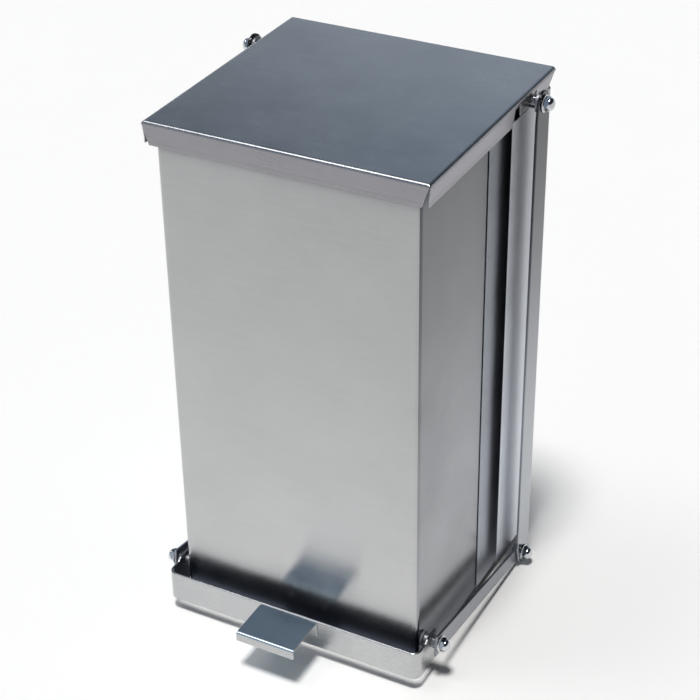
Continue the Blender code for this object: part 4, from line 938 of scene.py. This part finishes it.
def makeRing(name, centre, side, start, end, outer, look, node, body, flats=False):
    bore = fasteners["bore"]
    if flats:
        corner = hexCorner(outer)
        rim = [(0, outer, corner * 0.88), (0.45, outer, corner * 0.95), (0.9, outer, corner)]
    else:
        rim = [(0, outer - 0.4), (0.15, outer - 0.12), (0.4, outer)]
    length = end - start
    stations = rim + [(length - place, *rest) for place, *rest in rim[::-1]]
    stations += [(length, bore + 0.3), (length - 0.3, bore), (0.3, bore), (0, bore + 0.3)]
    bm = shaped(turned, centre, outwards(start, stations, side), ring=True)
    addPiece(name, bm, look, body, node, edge=0)


def makeBolt(name, centre, side, headStart, headEnd, end, look, node, body):
    part = fasteners
    flats, radius, chamfer = part["headAcross"], part["bolt"], part["chamfer"]
    corner = hexCorner(flats)
    stations = [
        (headStart, flats, corner * 0.86), (headStart + 0.45, flats, corner * 0.93),
        (headStart + 1.0, flats, corner), (headEnd - 0.4, flats, corner), (headEnd, flats, corner * 0.94),
        (headEnd, radius), (end - chamfer, radius), (end, radius - chamfer),
    ]
    bm = shaped(turned, centre, outwards(0, stations, side))
    addPiece(name, bm, look, body, node, edge=0.12)


# angle brackets that hold the lid pins in the skirt's notches
pinBracket = {
    "inner": 145.5, "outer": 163.5, "top": 630.5, "bottom": 612.0, "front": 102.5, "back": 172.5,
    "sheet": 2.0, "bend": 3.0,
}


def makeLidHardware():
    part, bolt, pin = pinBracket, fasteners, axes["lidPin"]
    for name, side in sides.items():
        corner = [(part["inner"], part["top"]), (part["outer"], part["top"]), (part["outer"], part["bottom"])]
        outline = [(side * x, z) for x, z in band(bend(corner, part["bend"]), -part["sheet"])]
        bm = shaped(prism, "Y", outline, part["front"], part["back"])
        tools = bmesh.new()
        bore = part["outer"] - part["sheet"] - part["bend"]
        drill(tools, pin, side * bore, side * (part["outer"] + past), bolt["bore"])
        addPiece("pinBracket." + name, bm, "zinc", "lid", "lid_pin_bracket_" + name, tools, edge=0.35)
        headOuter = part["outer"] - part["sheet"] - gap
        makeBolt("lidPin." + name, pin, side, headOuter - bolt["headLength"], headOuter,
                 bolt["strapOuter"] + bolt["capBore"], "chrome", "lid_pin_" + name, "lid")
        makeRing("lidPinNut." + name, pin, side, part["outer"] + gap, bolt["armInner"] - gap,
                 bolt["jamAcross"], "chrome", "lid_pin_nut_" + name, "lid", flats=True)
        makeRing("lidPinSpacer." + name, pin, side, bolt["armInner"], bolt["armOuter"],
                 bolt["washer"], "zinc", "lid_pin_spacer_" + name, "lid")
        makeCapNut("lidPinCapNut." + name, pin, side, bolt["strapOuter"] + gap,
                   "lid_pin_cap_nut_" + name, "lid")


# lever: arms, yoke, tread plate and cross shaft
lever = {
    "armFrontHeight": 25.4, "armBackHeight": 18.0, "armAhead": 9.0, "armBehind": 12.0,
    "yokeHalf": 165.0, "yokeFront": -137.5, "yokeEnd": -88.5, "yokeBottom": 16.0, "yokeTop": 54.0,
    "yokeCorner": 11.0, "bar": 3.2, "earTop": 58.0, "earAhead": 11.0, "earRamp": 6.0,
    "treadHalf": 37.0, "treadFront": -194.5, "treadSheet": 2.0, "treadBend": 3.5, "lip": 12.0, "flange": 20.0,
    "rivetX": 22.0, "rivetDrop": 12.5, "rivet": 2.4, "rivetHead": 4.6, "boreOutside": 8.0, "boreInside": 9.0,
}


def makeArms():
    part = lever
    pivot, link = Vector(axes["pivot"]), Vector(axes["link"])
    along = (link - pivot).normalized()
    up = Vector((-along.y, along.x))
    front = pivot - along * part["armAhead"]
    half = part["armBackHeight"] / 2
    tilt = math.degrees(math.atan2(along.y, along.x))
    tail = arc(link + along * (part["armBehind"] - half), half, tilt + 90, -180, 24)
    nose = up * part["armFrontHeight"] / 2
    outline = [tuple(front - nose), tuple(front + nose)] + tail
    bolt = fasteners
    for name, side in sides.items():
        bm = shaped(prism, "X", outline, side * bolt["armInner"], side * bolt["armOuter"])
        tools = bmesh.new()
        start, end = side * (bolt["armInner"] - past), side * (bolt["armOuter"] + past)
        for centre in (axes["pivot"], axes["link"]):
            drill(tools, centre, start, end, bolt["bore"])
        arm = addPiece("leverArm." + name, bm, "arm", "lever", "lever_arm_" + name, tools, edge=0.8, steps=3)
        # painted shade: the arm's inner faces take the dark inside steel
        repaint(arm, "shadedInside", lambda face: face.normal.x * side < -0.7)


def makeYoke():
    part = lever
    half = part["yokeHalf"]
    corners = [(-half, part["yokeEnd"]), (-half, part["yokeFront"]),
               (half, part["yokeFront"]), (half, part["yokeEnd"])]
    path = bend(corners, part["yokeCorner"], 14)
    ear = axes["pivot"][0] - part["earAhead"]
    ramps = [(-half, ear - part["earRamp"] * i / 6) for i in range(7)]
    path = path[:1] + ramps + path[1:-1] + [(-x, y) for x, y in reversed(ramps)] + path[-1:]

    def section(station):
        rise = min(max((path[station][1] - ear) / part["earRamp"] + 1, 0), 1)
        top = part["yokeTop"] + (part["earTop"] - part["yokeTop"]) * rise
        return [(0, part["yokeBottom"]), (0, top), (part["bar"], top), (part["bar"], part["yokeBottom"])]

    bm = shaped(sweep, path, section)
    tools = bmesh.new()
    drillSides(tools, axes["pivot"], half - part["boreInside"], half + past, fasteners["bore"])
    treadBores(tools)
    yoke = addPiece("pedalYoke", bm, "lever", "lever", "pedal_yoke", tools, edge=1.3, steps=4)
    # painted shade: the yoke's inner faces take the dark inside steel
    repaint(yoke, "shadedInside",
            lambda face: abs(face.normal.z) < 0.5 and face.normal.xy.dot(face.center.xy) < 0)


def treadBores(bm):
    part = lever
    start, end = part["yokeFront"] - part["boreOutside"], part["yokeFront"] + part["boreInside"]
    for side in sides.values():
        centre = (side * part["rivetX"], part["yokeTop"] - part["rivetDrop"])
        drill(bm, centre, start, end, part["rivet"] + gap, "Y", 24)


def makeTread():
    part = lever
    top, front = part["yokeTop"], part["treadFront"]
    back = part["yokeFront"] - gap
    corners = [(front, top - part["lip"]), (front, top), (back, top), (back, top - part["flange"])]
    outline = band(bend(corners, part["treadBend"]), -part["treadSheet"])
    bm = shaped(prism, "X", outline, -part["treadHalf"], part["treadHalf"])
    tools = bmesh.new()
    treadBores(tools)
    tread = addPiece("treadPlate", bm, "tread", "lever", "pedal_plate", tools, edge=0.7, steps=3)
    # the upright faces take the yoke's steel, so the painted sky reflection stays on the level faces
    repaint(tread, "lever", lambda face: abs(face.normal.z) < 0.5)
    for name, side in sides.items():
        addRivet("treadRivet." + name, (side * part["rivetX"], top - part["rivetDrop"]),
                 back - part["treadSheet"], part["yokeFront"] + part["bar"], "Y",
                 "lever", "pedal_rivet_" + name, part["rivet"], part["rivetHead"])


# flanged bush in the body's wall
bush = {"barrel": 5.6, "bore": 4.3, "flange": 9.0, "thick": 3.0, "reach": 4.0, "clear": 0.6}


def makeShaft():
    bolt, pivot, link = fasteners, axes["pivot"], axes["link"]
    inside = bolt["armInner"] - gap
    nut = bolt["armOuter"] + gap
    end = nut + bolt["capBore"] - gap
    radius, chamfer = bolt["bolt"], bolt["chamfer"]
    bm = shaped(turned, pivot, [(-end, radius - chamfer), (-end + chamfer, radius),
                                (end - chamfer, radius), (end, radius - chamfer)])
    addPiece("crossShaft", bm, "zinc", "lever", "pivot_shaft", edge=0)
    half, yoke = bodyBox["half"], lever["yokeHalf"]
    wall, rim, bore = half + gap, bush["flange"], bush["bore"]
    profile = [
        (half - bush["reach"], bush["barrel"]), (wall, bush["barrel"]), (wall, rim - 0.3), (wall + 0.4, rim),
        (wall + bush["thick"] - 0.5, rim), (wall + bush["thick"], rim - 0.5),
        (wall + bush["thick"], bore + 0.2), (wall + bush["thick"] - 0.2, bore), (half - bush["reach"], bore),
    ]
    for name, side in sides.items():
        makeRing("pivotSpacer." + name, pivot, side, half + bush["thick"] + bush["clear"],
                 yoke - lever["bar"] - gap, bolt["spacer"], "zinc", "pivot_spacer_" + name, "lever")
        makeRing("pivotJamNut." + name, pivot, side, yoke + gap, inside,
                 bolt["jamAcross"], "zinc", "pivot_jam_nut_" + name, "lever", flats=True)
        makeCapNut("pivotCapNut." + name, pivot, side, nut, "pivot_cap_nut_" + name, "lever")
        bm = shaped(turned, pivot, outwards(0, profile, side), ring=True)
        addPiece("pivotBush." + name, bm, "nylon", "body", "pivot_bushing_" + name, edge=0)
        makeBolt("linkBolt." + name, link, side, inside - bolt["linkHead"], inside,
                 bolt["strapOuter"] + bolt["capBore"], "zinc", "link_bolt_" + name, "lever")
        makeCapNut("linkCapNut." + name, link, side, bolt["strapOuter"] + gap, "link_cap_nut_" + name,
                   "lever")


# lift straps, with an oval hole at the lid pin
strap = {
    "half": 16.0, "shoulderTop": 1.8, "shoulderLow": 3.0, "taperTop": 18.0, "taperLow": 10.0,
    "drift": (-7.5, 2.0), "slot": 4.6,
}


def makeStraps():
    part = strap
    half = part["half"]
    pin, link = axes["lidPin"], axes["link"]
    outline = [(link[0] + half, pin[1] - part["taperTop"])]
    outline += arc(pin, half - part["shoulderTop"], 0, 180, 28)
    outline += [(link[0] - half, pin[1] - part["taperTop"]), (link[0] - half, link[1] + part["taperLow"])]
    outline += arc(link, half - part["shoulderLow"], 180, 180, 28)
    outline += [(link[0] + half, link[1] + part["taperLow"])]
    far = (pin[0] + part["drift"][0], pin[1] + part["drift"][1])
    tilt = math.degrees(math.atan2(part["drift"][1], part["drift"][0]))
    oval = arc(far, part["slot"], tilt - 90, 180, 20) + arc(pin, part["slot"], tilt + 90, 180, 20)
    bolt = fasteners
    for name, side in sides.items():
        bm = shaped(prism, "X", outline, side * bolt["strapInner"], side * bolt["strapOuter"])
        tools = bmesh.new()
        start, end = side * (bolt["strapInner"] - past), side * (bolt["strapOuter"] + past)
        prism(tools, "X", oval, start, end)
        drill(tools, link, start, end, bolt["bore"])
        addPiece("liftStrap." + name, bm, "upright", "strap_" + name, "lift_strap_" + name, tools,
                 edge=0.7, steps=3)


# rubber clips on the front wall's top edge
bumper = {"x": 105.0, "half": 15.0, "leg": 2.4, "drop": 9.0, "chamfer": 1.5, "top": 630.5}


def makeBumpers():
    part, box = bumper, bodyBox
    outer, inner = box["front"] - gap, box["front"] + box["hemThickness"] + gap
    seat, low, top = box["top"] + gap, box["top"] - part["drop"], part["top"]
    soft = part["chamfer"]
    ends = arc((outer - part["leg"] + soft, top - soft), soft, 180, -90, 6)
    ends += arc((inner + part["leg"] - soft, top - soft), soft, 90, -90, 6)
    outline = [(outer - part["leg"], low)] + ends
    outline += [(inner + part["leg"], low), (inner, low), (inner, seat), (outer, seat), (outer, low)]
    for name, side in sides.items():
        bm = shaped(prism, "X", outline, side * part["x"] - part["half"], side * part["x"] + part["half"])
        addPiece("lidBumper." + name, bm, "rubber", "body", "lid_bumper_" + name, edge=0.4, sharp=50)


# removable pail with a wired rim, ears and a wire bail
pail = {
    "halfX": 139.0, "halfY": 134.0, "centre": 30.5, "bottom": 72.3, "rim": 585.0, "sheet": 0.8,
    "taper": 11.0, "corner": 34.0, "bend": 5.0, "wire": 1.9,
    "earSheet": 1.5, "earHalf": 13.0, "earBottom": 550.0, "earTop": 595.5, "earCorner": 5.0,
    "earRivet": 564.0, "rivetBore": 2.2, "bailWire": 2.2, "bailCorner": 26.0,
}


def pailLoop(inset, z):
    part = pail
    return roundedLoop(part["halfX"] - inset, part["centre"] - part["halfY"] + inset,
                       part["centre"] + part["halfY"] - inset, part["corner"] - inset, z, 14)


def makePail():
    part = pail
    curlInner = part["wire"] + 2 * gap
    curlOuter = curlInner + part["sheet"]
    rimZ = part["rim"] - curlOuter
    knee = part["bottom"] + part["bend"]

    def lean(z):
        return part["taper"] * (rimZ - z) / (rimZ - part["bottom"])

    def curl(radius, degrees):
        angle = math.radians(degrees)
        return pailLoop(-curlInner - radius * math.cos(angle), rimZ + radius * math.sin(angle))

    turns = [180 - 15 * i for i in range(19)]

    # the bend between wall and floor, on the outside or a sheet's thickness in
    def corner(sheet):
        loops = []
        for degrees in (90, 67.5, 45, 22.5):
            angle = math.radians(degrees)
            inset = lean(knee) + sheet + (part["bend"] - sheet) * (1 - math.cos(angle))
            loops.append(pailLoop(inset, knee - (part["bend"] - sheet) * math.sin(angle)))
        return loops

    loops = corner(part["sheet"]) + [pailLoop(lean(knee) + part["sheet"], knee)]
    loops += [curl(curlOuter, degrees) for degrees in turns]
    loops += [curl(curlInner, degrees) for degrees in turns[::-1]]
    loops += [pailLoop(lean(knee), knee)] + corner(0)[::-1]
    bm = shaped(loft, loops)
    wall = part["halfX"] - lean(part["earRivet"])
    tools = bmesh.new()
    rivet = (part["centre"], part["earRivet"])
    drillSides(tools, rivet, wall - past, wall + past, part["rivetBore"], 24)
    addPiece("innerPail", bm, "galvanised", "pail", "inner_pail", tools, edge=0)

    bm = shaped(loft, [pailLoop(-curlInner - u, rimZ + v) for u, v in circle(part["wire"], 16)], ring=True)
    addPiece("rimWire", bm, "zinc", "pail", "pail_rim_wire", edge=0)

    outer = part["halfX"] - part["sheet"] - lean(part["earBottom"]) - gap
    half, centre, soft = part["earHalf"], part["centre"], part["earCorner"]
    low = part["earBottom"] + soft
    outline = [(centre - half, low)]
    outline += arc((centre - half + soft, low), soft, 180, 90, 6)[1:]
    outline += arc((centre + half - soft, low), soft, 270, 90, 6)
    outline += [(centre + half, part["rim"]), (centre + half / 2, part["earTop"]),
                (centre - half / 2, part["earTop"]), (centre - half, part["rim"])]
    for name, side in sides.items():
        bm = shaped(prism, "X", outline, side * (outer - part["earSheet"]), side * outer)
        tools = bmesh.new()
        for z, radius in ((part["earRivet"], part["rivetBore"]), (axes["bail"][1], part["bailWire"] + gap)):
            drill(tools, (centre, z), side * (outer - past), side * (outer + past), radius, count=24)
        addPiece("pailEar." + name, bm, "zinc", "pail", "pail_ear_" + name, tools, edge=0.3)
        addRivet("pailEarRivet." + name, rivet, side * (outer - part["earSheet"]),
                 side * (wall + gap), "X", "pail", "pail_ear_rivet_" + name)

    arm = outer - part["earSheet"] - gap - part["bailWire"]
    hook = part["halfX"] + curlOuter
    rest = centre - part["halfY"] - curlInner
    low = rest + part["bailCorner"] * 2
    short = bend([(-hook, centre), (-arm, centre), (-arm, low)], part["bailWire"] + gap / 2, 8)
    front = bend([(-arm, low), (-arm, rest), (0, rest)], part["bailCorner"], 16)
    left = short[:-1] + front[1:-1]
    path = left + [(-x, y) for x, y in reversed(left)]
    section = [(u, axes["bail"][1] + v) for u, v in circle(part["bailWire"], 20)]
    bm = shaped(sweep, path, section)
    addPiece("pailBail", bm, "zinc", "bail", "pail_bail", edge=0)


for make in (makeShells, makeBase, makeChannel, makeHinge, makeLid, makeLidHardware, makeArms, makeYoke,
             makeTread, makeShaft, makeStraps, makeBumpers, makePail):
    make()
    print("made by", make.__name__)


# floor, room and lamp
studio = {
    "floorTone": (0.962, 0.948, 0.925), "floorSize": 30.0,
    "floorCloud": (3, 3, 0.5), "floorGrain": (500, 2, 0.5), "floorBlotch": 0.02,
    "floorRough": 0.85, "floorShine": 0.1,
    # painted shade: the floor falls off to grey outside the camera's view, as past the edge of a pool of
    # light: each is a direction across the floor, how far along it the grey starts and ends, and the shade at
    # the end
    "paintedFalloff": [((0.948, 0.317), 0.46, 1.50, 0.75), ((0.453, -0.890), 0.23, 0.90, 0.88)],
    "keyWay": (-0.02, 0.20, -1.0), "keyWidth": 12.0, "keyStrength": 2.48,
    # the room's colour from straight down (0) to straight up (1)
    "room": [(0.0, (0.90, 0.90, 0.90)), (0.54, (0.90, 0.90, 0.90)), (0.58, (0.60, 0.62, 0.65)),
             (0.63, (0.40, 0.46, 0.53)), (0.67, (0.38, 0.44, 0.51)), (0.705, (0.30, 0.355, 0.425)),
             (0.735, (0.21, 0.26, 0.33)), (0.78, (0.165, 0.225, 0.315)), (0.82, (0.12, 0.155, 0.215)),
             (0.90, (0.12, 0.135, 0.16)), (1.0, (0.30, 0.31, 0.32))],
    "darkness": 0.88, "darkFrom": -0.10, "darkTo": 0.30, "horizonLow": 0.08, "horizonHigh": 0.22,
    "panelWay": (-0.40, -0.16, 0.903), "panelGlow": 4.2, "panelFrom": 0.984, "panelTo": 0.992,
    "dimSide": (-0.663, 0.557, 0.50), "dimness": 0.55, "dimFrom": 0.92, "dimTo": 0.99,
}


def makeStudio():
    bm = bmesh.new()
    bmesh.ops.create_grid(bm, x_segments=8, y_segments=8, size=studio["floorSize"] / 2)
    mesh = bpy.data.meshes.new("studioFloor")
    bm.to_mesh(mesh)
    bm.free()
    floor = bpy.data.objects.new("studioFloor", mesh)
    bpy.context.scene.collection.objects.link(floor)
    paint = startPaint("paleFloor")
    fine = paint.even(studio["floorGrain"])
    shade = 1 + (paint.even(studio["floorCloud"]) - 0.5) * studio["floorBlotch"]
    for (alongX, alongY), start, end, last in studio["paintedFalloff"]:
        reach = paint.along(0) * alongX + paint.along(1) * alongY
        shade = shade * paint.steps(reach, 1.0, last, start, end)
    colour = paint.tint(studio["floorTone"], shade)
    floor.data.materials.append(paint.finish({
        "Base Color": colour, "Roughness": studio["floorRough"] + (fine - 0.5) * 0.1,
        "Specular IOR Level": studio["floorShine"]}))

    world = bpy.data.worlds.new("studioRoom")
    bpy.context.scene.world = world
    room = Paint(world)
    height = room.along(2, "Generated")
    walls = room.node("ShaderNodeValToRGB", {"stops": studio["room"]}, {0: height * 0.5 + 0.5})
    # dark to the right above the pale horizon, and dimmer at the back left, which the lid's top mirrors
    dark = room.along(0, "Generated")
    dark = room.steps(dark, 0.0, studio["darkness"], studio["darkFrom"], studio["darkTo"])
    dark = dark * room.steps(height, 0.0, 1.0, studio["horizonLow"], studio["horizonHigh"])
    dim = room.facing(studio["dimSide"])
    dim = room.steps(dim, 0.0, studio["dimness"], studio["dimFrom"], studio["dimTo"])
    # a small bright patch high on the left draws the line along the lid's front bend
    panel = room.facing(studio["panelWay"])
    panel = room.steps(panel, 0.0, studio["panelGlow"], studio["panelFrom"], studio["panelTo"])
    colour = room.node("ShaderNodeVectorMath", {"operation": "ADD"}, {
        0: room.tint(walls, 1 - (dark + dim)), 1: room.tint((1, 1, 1), panel)})
    room.feed(room.tree.nodes["Background"].inputs["Color"], colour)

    lamp = bpy.data.lights.new("keyLamp", "SUN")
    lamp.angle = math.radians(studio["keyWidth"])
    lamp.energy = studio["keyStrength"]
    key = bpy.data.objects.new("keyLamp", lamp)
    key.rotation_euler = Vector(studio["keyWay"]).to_track_quat("-Z", "Y").to_euler()
    bpy.context.scene.collection.objects.link(key)


# the photograph's angle, worked out from the lid, pedal and bolts
view = {
    "turn": 28.1937, "height": 32.2105, "roll": -0.8726, "distance": 2.084753, "nearest": 0.05,
    "target": (0, 0.0305, 0.3), "targetPixel": (354.0376, 361.9939), "pixels": 700,
    "lens": 93.507, "sensor": 36.0,
}


def makeCamera():
    turn, height, roll = (math.radians(view[key]) for key in ("turn", "height", "roll"))
    back = Vector((math.sin(turn) * math.cos(height), -math.cos(turn) * math.cos(height), math.sin(height)))
    level = Vector((0, 0, 1)).cross(back).normalized()
    upright = back.cross(level)
    right = math.cos(roll) * level + math.sin(roll) * upright
    up = -math.sin(roll) * level + math.cos(roll) * upright
    pixel = view["distance"] * view["sensor"] / view["lens"] / view["pixels"]
    x = (view["targetPixel"][0] - view["pixels"] / 2) * pixel
    y = (view["pixels"] / 2 - view["targetPixel"][1]) * pixel
    data = bpy.data.cameras.new("photoCamera")
    data.lens = view["lens"]
    data.sensor_width = view["sensor"]
    data.clip_start = view["nearest"]
    camera = bpy.data.objects.new("photoCamera", data)
    place = Vector(view["target"]) + back * view["distance"] - right * x - up * y
    camera.matrix_world = Matrix.Translation(place) @ Matrix((right, up, back)).transposed().to_4x4()
    bpy.context.scene.collection.objects.link(camera)
    bpy.context.scene.camera = camera


makeStudio()
makeCamera()
bpy.context.scene.view_settings.view_transform = "Standard"
print("studio and camera set")
